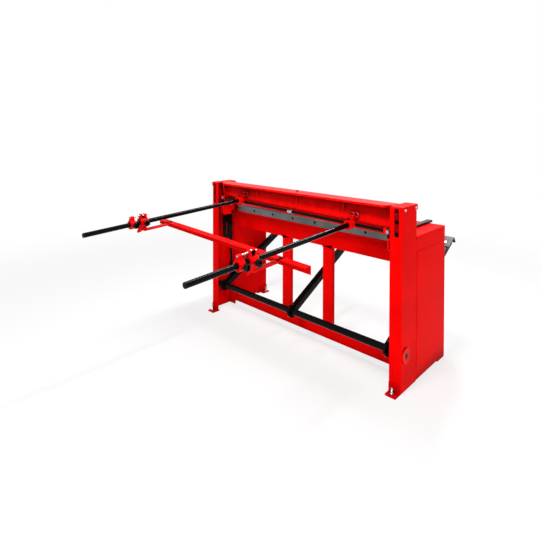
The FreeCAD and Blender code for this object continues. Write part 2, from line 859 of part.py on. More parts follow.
def rod_hub(side):
    """The bored hub that carries a gauge rod, on a pad screwed to the web of the ram."""
    collar = bar((0, hub_start, 0), (0, hub_collar, 0), rod_hub_radius)
    collar = rounded(collar, 2.5, lambda c: abs(c.y + hub_start) < 0.01)
    neck = bar((0, hub_collar - 1, 0), (0, hub_end, 0), hub_neck_radius)
    bore = bar((0, hub_start - 1, 0), (0, hub_socket, 0), rod_radius)
    set_hole = bar((0, set_screw_place, rod_radius), (0, set_screw_place, rod_hub_radius + 1), 5.0)
    x = side * rod_place
    top = ram_line(0, x)
    low = web_depth(x, pad_low + top)
    high = web_depth(x, pad_high + top)
    pad = across([(low - pad_wall, pad_low + top), (low + 8, pad_low + top), (high + 8, pad_high + top),
                  (high - pad_wall, pad_high + top)], x - pad_half, x + pad_half)
    front = hub_depth + hub_end
    middle = rod_line(x) + front * math.tan(rod_droop)
    rib = across([(high - pad_wall + 2, pad_high + top - 6), (low - pad_wall + 2, pad_low + top + 1),
                  (front + 6, middle + 12), (front - 4, middle - 4), (front - 22, middle + 8),
                  (front - 20, middle + 24)], x - 9, x + 9)
    body = cut(join([on_rod(collar, side), on_rod(neck, side), pad, rib]), ram_plates())
    body = cut(body, [on_rod(bore, side), on_rod(set_hole, side)])
    return cut(body, [pad_screw_line(x + s * pad_screw_place, side) for s in (-1, 1)])


def pad_screw_start(x, side):
    """Where a pad screw's head rests on the leaning pad."""
    z = ram_line(pad_screw_height, side * rod_place)
    return x, web_depth(side * rod_place, z) - pad_wall, z


def pad_screw_line(x, side, radius=4.0):
    """The hole of a pad screw, square to the leaning web."""
    start = pad_screw_start(x, side)
    lean = math.atan(web_lean)
    way = vec(0, math.cos(lean), -math.sin(lean))
    return Part.makeCylinder(radius, pad_wall + 4, vec(*start) - way, way)


def rod_hubs():
    return group([rod_hub(-1), rod_hub(1)])


def ram_screws():
    """The pad screws, the set screws on the rod hubs and the plug on top of the ram."""
    pieces = []
    lean = math.atan(web_lean)
    for side in (-1, 1):
        for offset in (-pad_screw_place, pad_screw_place):
            pieces.append(round_screw(pad_screw_start(side * rod_place + offset, side),
                                      (0, math.cos(lean), -math.sin(lean)), 4.0, pad_wall - 1.5, 6.5, 7.0))
        grub = bar((0, set_screw_place, rod_radius + 0.2), (0, set_screw_place, rod_hub_radius + 5), 4.9)
        pieces.append(on_rod(grub, side))
    pieces.append(bar((rib_middle, 75, machine_height), (rib_middle, 75, machine_height + 8), 7.0))
    return group(pieces)


def gauge_rods():
    length = (rod_reach + hub_depth) / math.cos(rod_droop)
    rod = bar((0, -length, 0), (0, hub_socket - 1, 0), rod_radius)
    rod = rounded(rod, 1.5, lambda c: abs(c.y - length) < 0.01)
    return rod_pair(rod)


def hold_down_cups():
    """The spring housings on the front of the ram that push the hold-down on the sheet."""
    cups = []
    for x in cup_places:
        middle = (hold_rear + hold_front) / 2
        cup = bar((x, middle, cup_low), (x, middle, cup_high), cup_radius)
        low = web_depth(x, cup_high - 6) + 2
        arm = block(x - 14, x + 14, low, middle, cup_high - 46, cup_high - 6)
        cup = cut(join([cup, arm]), ram_plates())
        cups.append(cup.cut(bar((x, middle, cup_low - 1), (x, middle, cup_high - 8), post_radius + 0.15)))
    return group(cups)


def hold_down():
    """The clamping bar in front of the upper blade, with its three guide posts."""
    low = table_height + hold_lift
    middle = (hold_rear + hold_front) / 2
    foot = block(-hold_half, hold_half, hold_rear, hold_front, low, low + hold_wall)
    web = block(-hold_half, hold_half, middle - 4, middle + 4, low + hold_wall, low + 45)
    pieces = [foot, web]
    for x in cup_places:
        pieces.append(bar((x, middle, low + 40), (x, middle, cup_low + 48), post_radius))
    return join(pieces)


# Treadle

def tilted(shape):
    """Moves a shape from the treadle's own frame, where the arms run along depth, to its place."""
    moved = shape.copy()
    moved.rotate(FreeCAD.Vector(0, 0, 0), FreeCAD.Vector(1, 0, 0), -math.degrees(treadle_rise))
    moved.translate(vec(0, pivot_depth, pivot_height))
    return moved


def treadle_shaft():
    end = web_inner - 1.0
    tube = bar((-end, 0, 0), (end, 0, 0), shaft_radius)
    bore = bar((-end + stub_length, 0, 0), (end - stub_length, 0, 0), shaft_radius - tube_wall)
    stubs = [bar((s * (end - stub_length / 2), 0, 0), (s * (half_width + 6), 0, 0), stub_radius) for s in (-1, 1)]
    return tilted(join([tube.cut(bore)] + stubs))


def treadle_arm(x):
    """A square arm welded to the shaft, with its round hub plate."""
    half = arm_size / 2
    arm = block(x - half, x + half, 0, arm_length, -half, half)
    arm = arm.cut(block(x - half + tube_wall, x + half - tube_wall, hub_radius, arm_length - tube_wall,
                        -half + tube_wall, half - tube_wall))
    hub = bar((x - hub_wall / 2, 0, 0), (x + hub_wall / 2, 0, 0), hub_radius)
    bore = bar((x - half - 1, 0, 0), (x + half + 1, 0, 0), shaft_radius)
    piece = tilted(cut(join([arm, hub]), [bore, board_hole(x)]))
    if abs(x) > post_place:
        piece = join([piece, link_lug(math.copysign(link_place, x))]).cut(lug_hole(math.copysign(link_place, x)))
    return piece


def link_lug(x):
    """The lug on top of an outer arm that takes the lower end of a pull link."""
    lean = math.tan(treadle_rise)
    top = link_low_height
    rear = link_low_depth - 26
    front = link_low_depth + 30
    sunk = (arm_size / 2 - 2) / math.cos(treadle_rise)
    lug = across([(rear, pivot_height + (rear - pivot_depth) * lean + sunk),
                  (front, pivot_height + (front - pivot_depth) * lean + sunk),
                  (link_low_depth + 13, top), (link_low_depth - 14, top)], x - link_wall / 2, x + link_wall / 2)
    eye = bar((x - link_wall / 2, link_low_depth, top), (x + link_wall / 2, link_low_depth, top), 14.0)
    base = across([(d, pivot_height + (d - pivot_depth) * lean + sunk + rise)
                   for d, rise in ((rear - 10, 0), (front + 10, 0), (front + 10, 6), (rear - 10, 6))],
                  math.copysign(lug_base_inner, x), math.copysign(lug_base_outer, x))
    return join([lug, eye, base])


def lug_hole(x):
    return bar((x - 30, link_low_depth, link_low_height), (x + 30, link_low_depth, link_low_height), pin_radius)


def treadle_arms():
    return group([treadle_arm(x) for x in arm_places])


def lower_link_pins():
    reach = link_wall / 2 + link_side_gap + cheek_wall + pin_end_gap
    pins = []
    for x in (-link_place, link_place):
        pins.append(join([bar((x - reach, link_low_depth, link_low_height),
                              (x + reach, link_low_depth, link_low_height), pin_radius),
                          bar((x - reach - 4, link_low_depth, link_low_height),
                              (x - reach, link_low_depth, link_low_height), pin_radius + 4),
                          bar((x + reach, link_low_depth, link_low_height),
                              (x + reach + 4, link_low_depth, link_low_height), pin_radius + 4)]))
    return group(pins)


def foot_board():
    top = arm_size / 2 + board_wall
    plate = block(board_left, board_right, board_start, board_end, arm_size / 2, top)
    lip = block(board_left, board_right, board_end - board_wall, board_end, top - board_lip, top)
    board = join([plate, lip])
    board = rounded(board, 4.0, lambda c: abs(c.y + board_end) < 0.01 and abs(c.z - top) < 0.01)
    board = cut(board, [board_hole(x) for x in arm_places])
    return tilted(board)


def board_hole(x):
    return bar((x, board_start + 40, 0), (x, board_start + 40, arm_size), 5.0)


def board_bolts():
    top = arm_size / 2 + board_wall
    return group([tilted(round_screw((x, board_start + 40, top), (0, 0, -1), 5.0, 12, 9.0, 4.0, 0.5))
                  for x in arm_places])


# Pull links

def pull_link(side):
    """The forged yoke and its threaded rod, which draw the ram down."""
    x = link_place
    half = link_wall / 2
    eye = bar((x - half, link_top_depth, link_top_height), (x + half, link_top_depth, link_top_height), 14.0)
    high = link_top_height - yoke_drop
    low = high - yoke_length
    neck = block(x - half, x + half, link_top_depth - 12, link_top_depth + 12, high - 6, link_top_height)
    yoke = across([(38, high - 4), (42, high), (link_top_depth + 13, high), (link_top_depth + 13, low),
                   (108, low - 4), (50, low + 10), (46, low + 20)], x - half, x + half)
    slot = block(x - half - 1, x + half + 1, 72, 90, low + 40, high - 72)
    slot = join([slot, bar((x - half - 1, 81, low + 40), (x + half + 1, 81, low + 40), 9.0),
                 bar((x - half - 1, 81, high - 72), (x + half + 1, 81, high - 72), 9.0)])
    boss = bar((x, link_top_depth, low - 8), (x, link_top_depth, low + 20), 15.0)
    fork_high = link_low_height + 62
    rod_end = (x, link_low_depth - 2.5, fork_high - 8)
    rod = bar((x, link_top_depth, low + 10), rod_end, pull_rod_radius)
    inner = half + link_side_gap
    head = block(x - inner - cheek_wall, x + inner + cheek_wall, link_low_depth - 15, link_low_depth + 15,
                 link_low_height + 18, fork_high)
    cheeks = across([(link_low_depth - 15, fork_high), (link_low_depth + 15, fork_high),
                     (link_low_depth + 15, link_low_height - 6), (link_low_depth + 8, link_low_height - 16),
                     (link_low_depth - 8, link_low_height - 16), (link_low_depth - 15, link_low_height - 6)],
                    x - inner - cheek_wall, x + inner + cheek_wall)
    gap = block(x - inner, x + inner, link_low_depth - 16, link_low_depth + 16, link_low_height - 30,
                link_low_height + 40)
    nut = hexagon((x, link_low_depth - 3, fork_high), (x, link_low_depth - 3.3, fork_high + 12), 27)
    body = join([eye, neck, yoke, boss, rod, head, cheeks, nut])
    hole = bar((x - 30, link_low_depth, link_low_height), (x + 30, link_low_depth, link_low_height),
               pin_radius + open_pin_gap)
    upper_hole = bar((x - 30, link_top_depth, link_top_height), (x + 30, link_top_depth, link_top_height),
                     pin_radius + pin_gap)
    body = cut(body, [slot, gap, hole, upper_hole])
    return body if side > 0 else mirrored(body)


# Back gauge

def lock_block():
    """The split collar that clamps on a rod, with the ear that holds the fine screw."""
    d0 = -lock_start
    d1 = -lock_start - lock_wall
    barrel = bar((0, d0, 0), (0, d1, 0), block_radius)
    wire = Part.makePolygon([vec(-20, d0 - 4, 0), vec(20, d0 - 4, 0), vec(11, d0 - 4, screw_rise + 6),
                             vec(-11, d0 - 4, screw_rise + 6), vec(-20, d0 - 4, 0)])
    ear = Part.Face(wire).extrude(FreeCAD.Vector(0, lock_wall - 8, 0))
    ear = rounded(ear, 6.0, lambda c: abs(c.z - screw_rise - 6) < 0.01 and abs(abs(c.x) - 11) < 0.01)
    boss = bar((0, (d0 + d1) / 2, 0), (-block_radius - 6, (d0 + d1) / 2, 0), 12.0)
    body = join([barrel, ear, boss])
    bore = bar((0, d0 + 1, 0), (0, d1 - 1, 0), rod_radius + rod_gap)
    hole = bar((0, d0 + 1, screw_rise), (0, d1 - 1, screw_rise), fine_screw_radius)
    stud_hole = bar((0, (d0 + d1) / 2, 0), (-block_radius - 7, (d0 + d1) / 2, 0), knob_stud + 0.1)
    return cut(body, [bore, hole, stud_hole])


def lock_blocks():
    return rod_pair(lock_block())


def fine_screws():
    """The threaded screws that join each lock block to its carriage."""
    rear = -lock_start - lock_wall + 4
    return rod_pair(bar((0, rear - 3, screw_rise), (0, -carriage_start + 6, screw_rise), fine_screw_radius))


def carriage():
    """The sliding block: sleeve, notched fork for the fine nut, leg, foot and gauge arm."""
    near = -carriage_start
    far = -carriage_start - carriage_length
    barrel = bar((0, near, 0), (0, far, 0), block_radius)
    barrel = rounded(barrel, 2.0, lambda c: abs(c.y + near) < 0.01 or abs(c.y + far) < 0.01)
    middle = (near + far) / 2
    half_notch = nut_wall / 2 + 2
    fork = across([(near - 3, 0), (near - 3, 24), (middle + half_notch + 12, 50), (middle + half_notch + 4, 53),
                   (middle + half_notch, 50), (middle + half_notch - 1, 26), (middle - half_notch + 1, 26),
                   (middle - half_notch, 50), (middle - half_notch - 4, 53), (middle - half_notch - 12, 50),
                   (far + 3, 24), (far + 3, 0)], -13, 13)
    leg = across([(middle + 16, 0), (middle - 16, 0), (far - 16, -arm_drop - 12), (far - 2, -arm_drop - 12),
                  (middle - 4, -arm_drop - 2), (middle + 20, -arm_drop - 2)], -9, 9)
    arm = raked(block(-arm_width / 2, arm_width / 2, -gauge_front - gauge_wall, middle + 2,
                      -arm_drop - arm_wall, -arm_drop))
    boss = bar((0, middle, 0), (-block_radius - 6, middle, 0), 12.0)
    body = join([barrel, fork, leg, arm, boss])
    bore = bar((0, near + 1, 0), (0, far - 1, 0), rod_radius + rod_gap)
    screw_hole = bar((0, near + 1, screw_rise), (0, far - 1, screw_rise), fine_screw_radius + 0.4)
    stud_hole = bar((0, middle, 0), (-block_radius - 7, middle, 0), knob_stud + 0.1)
    return cut(body, [bore, screw_hole, stud_hole, raked(gauge_bolt_line())])


def carriages():
    return rod_pair(carriage())


def gauge_bar():
    """The angle bar that stops the sheet, on top of the arms of the two carriages."""
    low = -arm_drop + gauge_seat_gap
    top = low + gauge_wall
    section = [(-gauge_front, top), (-gauge_front - gauge_leg, top), (-gauge_front - gauge_leg, low),
               (-gauge_front - gauge_wall + gauge_seat_gap, low),
               (-gauge_front - gauge_wall + gauge_seat_gap, top - gauge_leg), (-gauge_front, top - gauge_leg)]
    piece = across(section, -gauge_low_end, gauge_high_end)
    piece.rotate(FreeCAD.Vector(0, 0, 0), FreeCAD.Vector(1, 0, 0), -math.degrees(rod_droop))
    piece.rotate(FreeCAD.Vector(0, 0, 0), FreeCAD.Vector(0, 1, 0), -math.degrees(rod_rake))
    piece.translate(rod_point(0))
    return cut(piece, [on_rod(raked(gauge_bolt_line()), side) for side in (-1, 1)])


def gauge_bolt_line():
    place = -gauge_front - gauge_leg / 2
    return bar((0, place, -arm_drop + gauge_wall + 1), (0, place, -arm_drop - arm_wall - 1), 4.0)


def gauge_bar_bolts():
    place = -gauge_front - gauge_leg / 2
    top = -arm_drop + gauge_seat_gap + gauge_wall + 0.1
    return rod_pair(raked(screw((0, place, top), (0, 0, -1), 4.0, gauge_wall + arm_wall - 1, 13, 5)))


def fine_nut(side):
    """The knurled nut in the notch of a carriage."""
    middle = -carriage_start - carriage_length / 2
    nut = bar((0, middle + nut_wall / 2, screw_rise), (0, middle - nut_wall / 2, screw_rise), nut_radius)
    grips = [bar((nut_radius * math.sin(a), middle + nut_wall, screw_rise + nut_radius * math.cos(a)),
                 (nut_radius * math.sin(a), middle - nut_wall, screw_rise + nut_radius * math.cos(a)), 1.0)
             for a in [i * math.pi / 5 for i in range(10)]]
    nut = cut(nut, grips)
    bore = bar((0, middle + nut_wall, screw_rise), (0, middle - nut_wall, screw_rise), fine_screw_radius + 0.05)
    return on_rod(nut.cut(bore), side)


def clamp_knob(place, side):
    """A round lobed knob on its stud, whose tip bears on the rod."""
    tip = rod_radius + rod_gap + 0.2
    start = block_radius + knob_stand
    end = start + knob_length
    stud_bar = bar((-tip, place, 0), (-start - 2, place, 0), knob_stud)
    grip = bar((-start, place, 0), (-end, place, 0), knob_radius)
    grip = grip.makeChamfer(2.5, [e for e in grip.Edges if abs(e.CenterOfMass.x + end) < 0.01])
    lobes = [bar((-start + 1, place + 1.2 * knob_radius * math.cos(a), 1.2 * knob_radius * math.sin(a)),
                 (-end - 1, place + 1.2 * knob_radius * math.cos(a), 1.2 * knob_radius * math.sin(a)), 5.5)
             for a in [i * math.pi / 3 for i in range(6)]]
    collar = bar((-start + 4.5, place, 0), (-start, place, 0), 9.0)
    return on_rod(join([stud_bar, collar, cut(grip, lobes)]), side)


def lock_knob(side):
    return clamp_knob(-lock_start - lock_wall / 2, side)


def carriage_knob(side):
    return clamp_knob(-carriage_start - carriage_length / 2, side)


# Springs

def spring_heights():
    """The height of the coil's centre line after each quarter turn, with closed end turns."""
    low = spring_foot + spring_wire
    high = spring_top - spring_wire
    quarters = spring_turns * 4
    closed = spring_wire * 2 + 0.7
    open_pitch = (high - low - 2 * closed) / (spring_turns - 2)
    steps = []
    for i in range(quarters):
        edge = min(i, quarters - 1 - i)
        steps.append((closed if edge < 4 else open_pitch) / 4)
    scale = (high - low) / sum(steps)
    heights = [low]
    for step in steps:
        heights.append(heights[-1] + step * scale)
    return heights


def helix_points():
    heights = spring_heights()
    points = []
    for i, z in enumerate(heights):
        a = i * math.pi / 2
        x = spring_place + spring_radius * math.cos(a)
        y = -spring_depth + spring_radius * math.sin(a)
        before = heights[max(i - 1, 0)]
        after = heights[min(i + 1, len(heights) - 1)]
        climb = (after - before) / (min(i + 1, len(heights) - 1) - max(i - 1, 0)) / (math.pi / 2)
        way = FreeCAD.Vector(-spring_radius * math.sin(a), spring_radius * math.cos(a), climb)
        points.append((FreeCAD.Vector(x, y, z), way.normalize()))
    return points


def biarc(start, start_way, end, end_way):
    """Two tangent arcs that leave start and reach end along the given ways."""
    gap = end - start
    both = start_way + end_way
    a = both.dot(both) - 4
    b = -2 * gap.dot(both)
    c = gap.dot(gap)
    reach = (-b - math.sqrt(b * b - 4 * a * c)) / (2 * a)
    first = start + start_way * reach
    second = end - end_way * reach
    joint = (first + second) * 0.5
    return [tangent_arc(start, first, joint), tangent_arc(joint, second, end)]


def tangent_arc(start, corner, end):
    middle = (start + end) * 0.5
    half = (end - start).Length / 2
    reach = (corner - start).Length
    cosine = min(1.0, half / reach)
    angle = math.acos(cosine)
    rise = half / math.sin(angle) * (1 - cosine)
    top = middle + (corner - middle).normalize() * rise
    return Part.Arc(start, top, end).toShape()


def return_spring():
    points = helix_points()
    edges = []
    for (a, way_a), (b, way_b) in zip(points[:-1], points[1:]):
        edges += biarc(a, way_a, b, way_b)
    path = Part.Wire(edges)
    start, way = points[0]
    ring = Part.Wire(Part.makeCircle(spring_wire, start, way))
    return path.makePipeShell([ring], True, False)


def spring_gap():
    """The least gap between neighbouring turns, measured on points of the centre line."""
    heights = spring_heights()
    return min(heights[i + 4] - heights[i] for i in range(len(heights) - 4)) - 2 * spring_wire


def return_springs():
    spring = return_spring()
    return group([spring, mirrored(spring)])


def all_parts():
    parts = {
        "column_left": column(-1), "column_right": column(1), "column_caps": column_caps(),
        "side_plate_left": side_plate(-1), "side_plate_right": side_plate(1),
        "side_cover_left": side_cover(-1), "side_cover_right": side_cover(1),
        "table_top": table_top(), "blade_bar": blade_bar(), "bed_web": bed_web(),
        "bed_post_left": post(-1), "bed_post_right": post(1), "cross_member": cross_member(),
        "front_rail": front_rail(), "rear_feet": rear_feet(), "front_feet": front_feet(),
        "levelling_screws": levelling_screws(), "ram_guides": ram_guides(), "gib_strips": gib_strips(),
        "gib_screws": gib_screws(), "guide_bolts": guide_bolts(), "cap_bolts": cap_bolts(),
        "bearing_flanges": bearing_flanges(), "shaft_bushes": shaft_bushes(),
        "lower_blade": lower_blade(), "lower_blade_screws": lower_blade_screws(),
        "side_gauge": side_gauge(), "side_gauge_screws": side_gauge_screws(),
        "return_springs": return_springs(),
        "ram_beam": ram_beam(), "ram_end_left": ram_end(-1), "ram_end_right": ram_end(1),
        "upper_blade": upper_blade(), "upper_blade_screws": upper_blade_screws(),
        "truss_rod": truss_line(truss_radius), "truss_fittings": truss_fittings(),
        "rod_hubs": rod_hubs(), "ram_screws": ram_screws(), "gauge_rods": gauge_rods(),
        "link_pins": link_pins(), "hold_down_cups": hold_down_cups(), "hold_down": hold_down(),
        "treadle_shaft": treadle_shaft(), "treadle_arms": treadle_arms(), "foot_board": foot_board(),
        "board_bolts": board_bolts(), "lower_link_pins": lower_link_pins(),
        "pull_link_left": pull_link(-1), "pull_link_right": pull_link(1),
        "lock_blocks": lock_blocks(), "fine_screws": fine_screws(),
        "carriages": carriages(), "gauge_bar": gauge_bar(), "gauge_bar_bolts": gauge_bar_bolts(),
    }
    for name, side in (("left", -1), ("right", 1)):
        parts["fine_nut_" + name] = fine_nut(side)
        parts["lock_knob_" + name] = lock_knob(side)
        parts["carriage_knob_" + name] = carriage_knob(side)
    return parts


def origin_shift():
    """How far the pieces move along Y to bring the origin under the middle of the machine."""
    rear = rod_reach + rod_radius * math.sin(rod_droop)
    lip_low = arm_size / 2 + board_wall - board_lip
    front = pivot_depth + board_end * math.cos(treadle_rise) - lip_low * math.sin(treadle_rise)
    return (front - rear) / 2


def main():
    os.makedirs("parts", exist_ok=True)
    shift = FreeCAD.Vector(0, origin_shift(), 0)
    parts = all_parts()
    for name, shape in parts.items():
        shape.translate(shift)
        shape.exportStep(os.path.join("parts", name + ".step"))
        if not shape.isValid():
            print("not valid:", name)
    print("pieces:", len(parts), " shift along Y:", round(shift.y, 3))
    print("least gap of a spring to itself:", round(spring_gap(), 2), "mm")
    return parts


if __name__ == "__main__":
    main()
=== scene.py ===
import json
import math

import bmesh
import bpy
from mathutils import Matrix, Vector


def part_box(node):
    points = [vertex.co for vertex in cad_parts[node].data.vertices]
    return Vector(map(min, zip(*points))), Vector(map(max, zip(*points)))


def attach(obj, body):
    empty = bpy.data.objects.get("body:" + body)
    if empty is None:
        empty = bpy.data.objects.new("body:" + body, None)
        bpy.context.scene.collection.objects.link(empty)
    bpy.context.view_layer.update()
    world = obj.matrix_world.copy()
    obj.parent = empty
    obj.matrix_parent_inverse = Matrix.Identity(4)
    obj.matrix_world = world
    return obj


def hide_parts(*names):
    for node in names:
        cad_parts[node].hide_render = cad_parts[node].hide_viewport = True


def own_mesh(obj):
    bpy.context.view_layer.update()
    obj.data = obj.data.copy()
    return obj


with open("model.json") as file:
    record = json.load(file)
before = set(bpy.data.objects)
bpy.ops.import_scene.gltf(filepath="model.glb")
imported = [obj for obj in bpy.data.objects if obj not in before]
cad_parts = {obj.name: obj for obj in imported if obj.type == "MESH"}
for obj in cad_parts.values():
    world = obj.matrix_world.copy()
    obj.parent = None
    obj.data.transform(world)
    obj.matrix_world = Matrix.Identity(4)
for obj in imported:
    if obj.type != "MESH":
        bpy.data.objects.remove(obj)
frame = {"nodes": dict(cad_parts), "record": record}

nodes = frame["nodes"]
bodyOf = {node: body for body, members in frame["record"]["behaviour"]["bodies"].items() for node in members}
slotOf = {part["node"]: part["material_slot"] for part in frame["record"]["subparts"]}
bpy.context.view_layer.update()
bothSides = (-1, 1)  # left and right, as the sign of x

# Places are given as on the drawings: mm across from the middle, mm deep from the columns' rear faces, mm up
machine = {
    "rearShift": 113.615,  # from the middle of the whole, rods and treadle included, to the columns' rear faces
    "rodHub": (490.0, -28.0, 907.0),  # across, deep, and up before the rake
    "rodRake": 1.8,  # degrees by which the line of the hubs rises to the right
    "rodDroop": 2.9,  # degrees by which the rods sink towards their free ends
    "ramRake": 1.2,  # degrees by which the truss and the upper blade rise to the right
}


def spot(across, deep, up):
    return Vector((across, -deep - machine["rearShift"], up)) / 1000


def rodFrame(side):
    # x across, y back along the rod, z square to it; the zero is the rod's hub
    across, deep, up = machine["rodHub"]
    droop = math.radians(machine["rodDroop"])
    start = spot(side * across, deep, up + side * across * math.tan(math.radians(machine["rodRake"])))
    turn = Matrix(((1, 0, 0), (0, math.cos(droop), math.sin(droop)), (0, -math.sin(droop), math.cos(droop))))
    return Matrix.Translation(start) @ turn.to_4x4()


def onRod(side, alongMm, aboveMm=0.0):
    # a place mm along a rod from its hub and mm above its middle
    return rodFrame(side) @ Matrix.Translation((0, alongMm / 1000, aboveMm / 1000))


def facing(place, way, roll=0.0):
    # a matrix that stands a model, built upwards along Z, at a place with its top facing a way
    turn = Vector(way).to_track_quat("Z", "Y").to_matrix() @ Matrix.Rotation(math.radians(roll), 3, "Z")
    return Matrix.Translation(place) @ turn.to_4x4()


# Camera: the photograph's own viewpoint, with its verticals kept upright by the lens shift
cameraSettings = {
    "place": (-1.928, 2.0484, 1.462),
    "look": (0.6925, -0.7214, -0.0164),
    "roll": 0.12,  # degrees
    "focal": 28.6,  # mm
    "sensor": 36.0,  # mm
    "shiftX": -0.0054,
    "shiftY": -0.248,
}


def makeCamera(settings):
    data = bpy.data.cameras.new("photoCamera")
    data.lens = settings["focal"]
    data.sensor_width = settings["sensor"]
    data.shift_x = settings["shiftX"]
    data.shift_y = settings["shiftY"]
    camera = bpy.data.objects.new("photoCamera", data)
    bpy.context.scene.collection.objects.link(camera)
    turn = Vector(settings["look"]).to_track_quat("-Z", "Y").to_matrix()
    camera.rotation_euler = (turn @ Matrix.Rotation(math.radians(settings["roll"]), 3, "Z")).to_euler()
    camera.location = settings["place"]
    bpy.context.scene.camera = camera


makeCamera(cameraSettings)
print("camera placed")


# Materials
def hexColour(code):
    parts = [int(code[i:i + 2], 16) / 255 for i in (1, 3, 5)]
    return tuple(c / 12.92 if c <= 0.04045 else ((c + 0.055) / 1.055) ** 2.4 for c in parts) + (1.0,)


def addNode(tree, kind, settings=None, links=None):
    node = tree.nodes.new(kind)
    for key, value in (settings or {}).items():
        if isinstance(key, str) and hasattr(node, key):
            setattr(node, key, value)
        else:
            node.inputs[key].default_value = value
    for socket, source in (links or {}).items():
        tree.links.new(source, node.inputs[socket])
    return node


def newMaterial(name):
    material = bpy.data.materials.new(name)
    material.use_nodes = True
    material.node_tree.nodes.clear()
    return material, material.node_tree


def grain(tree, coordinates, sizeMm, detail=2.0, stretch=(1, 1, 1)):
    # a noise whose lumps are sizeMm across, or longer along an axis with a stretch over 1
    mapping = addNode(tree, "ShaderNodeMapping", {"Scale": tuple(1 / s for s in stretch)},
                      {"Vector": coordinates})
    return addNode(tree, "ShaderNodeTexNoise", {"Scale": 1000 / sizeMm, "Detail": detail},
                   {"Vector": mapping.outputs[0]})


def surface(finish):
    # every finish: two close colours in broad patches, a fine grain in gloss and relief, and where asked
    # painted shade in the corners;
    # a pattern keeps to the middle of its range, which the From values draw out to the whole
    material, tree = newMaterial(finish["name"])
    coordinates = addNode(tree, "ShaderNodeTexCoord").outputs["Object"]
    patches = grain(tree, coordinates, finish["patchMm"], 3.0)
    spread = addNode(tree, "ShaderNodeMapRange", {"From Min": 0.35, "From Max": 0.65},
                     {"Value": patches.outputs[0]})
    colour = addNode(tree, "ShaderNodeMix", {"data_type": "RGBA", 6: hexColour(finish["colour"]),
                                             7: hexColour(finish["second"])}, {0: spread.outputs[0]})
    if "corner" in finish:
        # painted shade: the colour is darkened where surfaces close in on each other, where shade falls
        reach = finish["cornerMm"] / 1000
        room = addNode(tree, "ShaderNodeAmbientOcclusion", {"samples": 8, "Distance": reach})
        unshaded = addNode(tree, "ShaderNodeMapRange", {"From Min": 0.12, "From Max": 0.8},
                        {"Value": room.outputs["AO"]})
        colour = addNode(tree, "ShaderNodeMix", {"data_type": "RGBA", 6: hexColour(finish["corner"])},
                         {0: unshaded.outputs[0], 7: colour.outputs[2]})
    fine = grain(tree, coordinates, finish["grainMm"], 2.0, finish.get("stretch", (1, 1, 1)))
    low, high = finish["roughness"]
    gloss = addNode(tree, "ShaderNodeMapRange",
                    {"From Min": 0.3, "From Max": 0.7, "To Min": low, "To Max": high},
                    {"Value": fine.outputs[0]})
    relief = addNode(tree, "ShaderNodeBump", {"Strength": 1.0, "Distance": finish["reliefMm"] / 1000},
                     {"Height": fine.outputs[0]})
    shader = addNode(tree, "ShaderNodeBsdfPrincipled", {"Metallic": finish["metallic"], "IOR": finish["ior"]},
                     {"Base Color": colour.outputs[2], "Roughness": gloss.outputs[0],
                      "Normal": relief.outputs[0]})
    addNode(tree, "ShaderNodeOutputMaterial", {}, {"Surface": shader.outputs[0]})
    return material


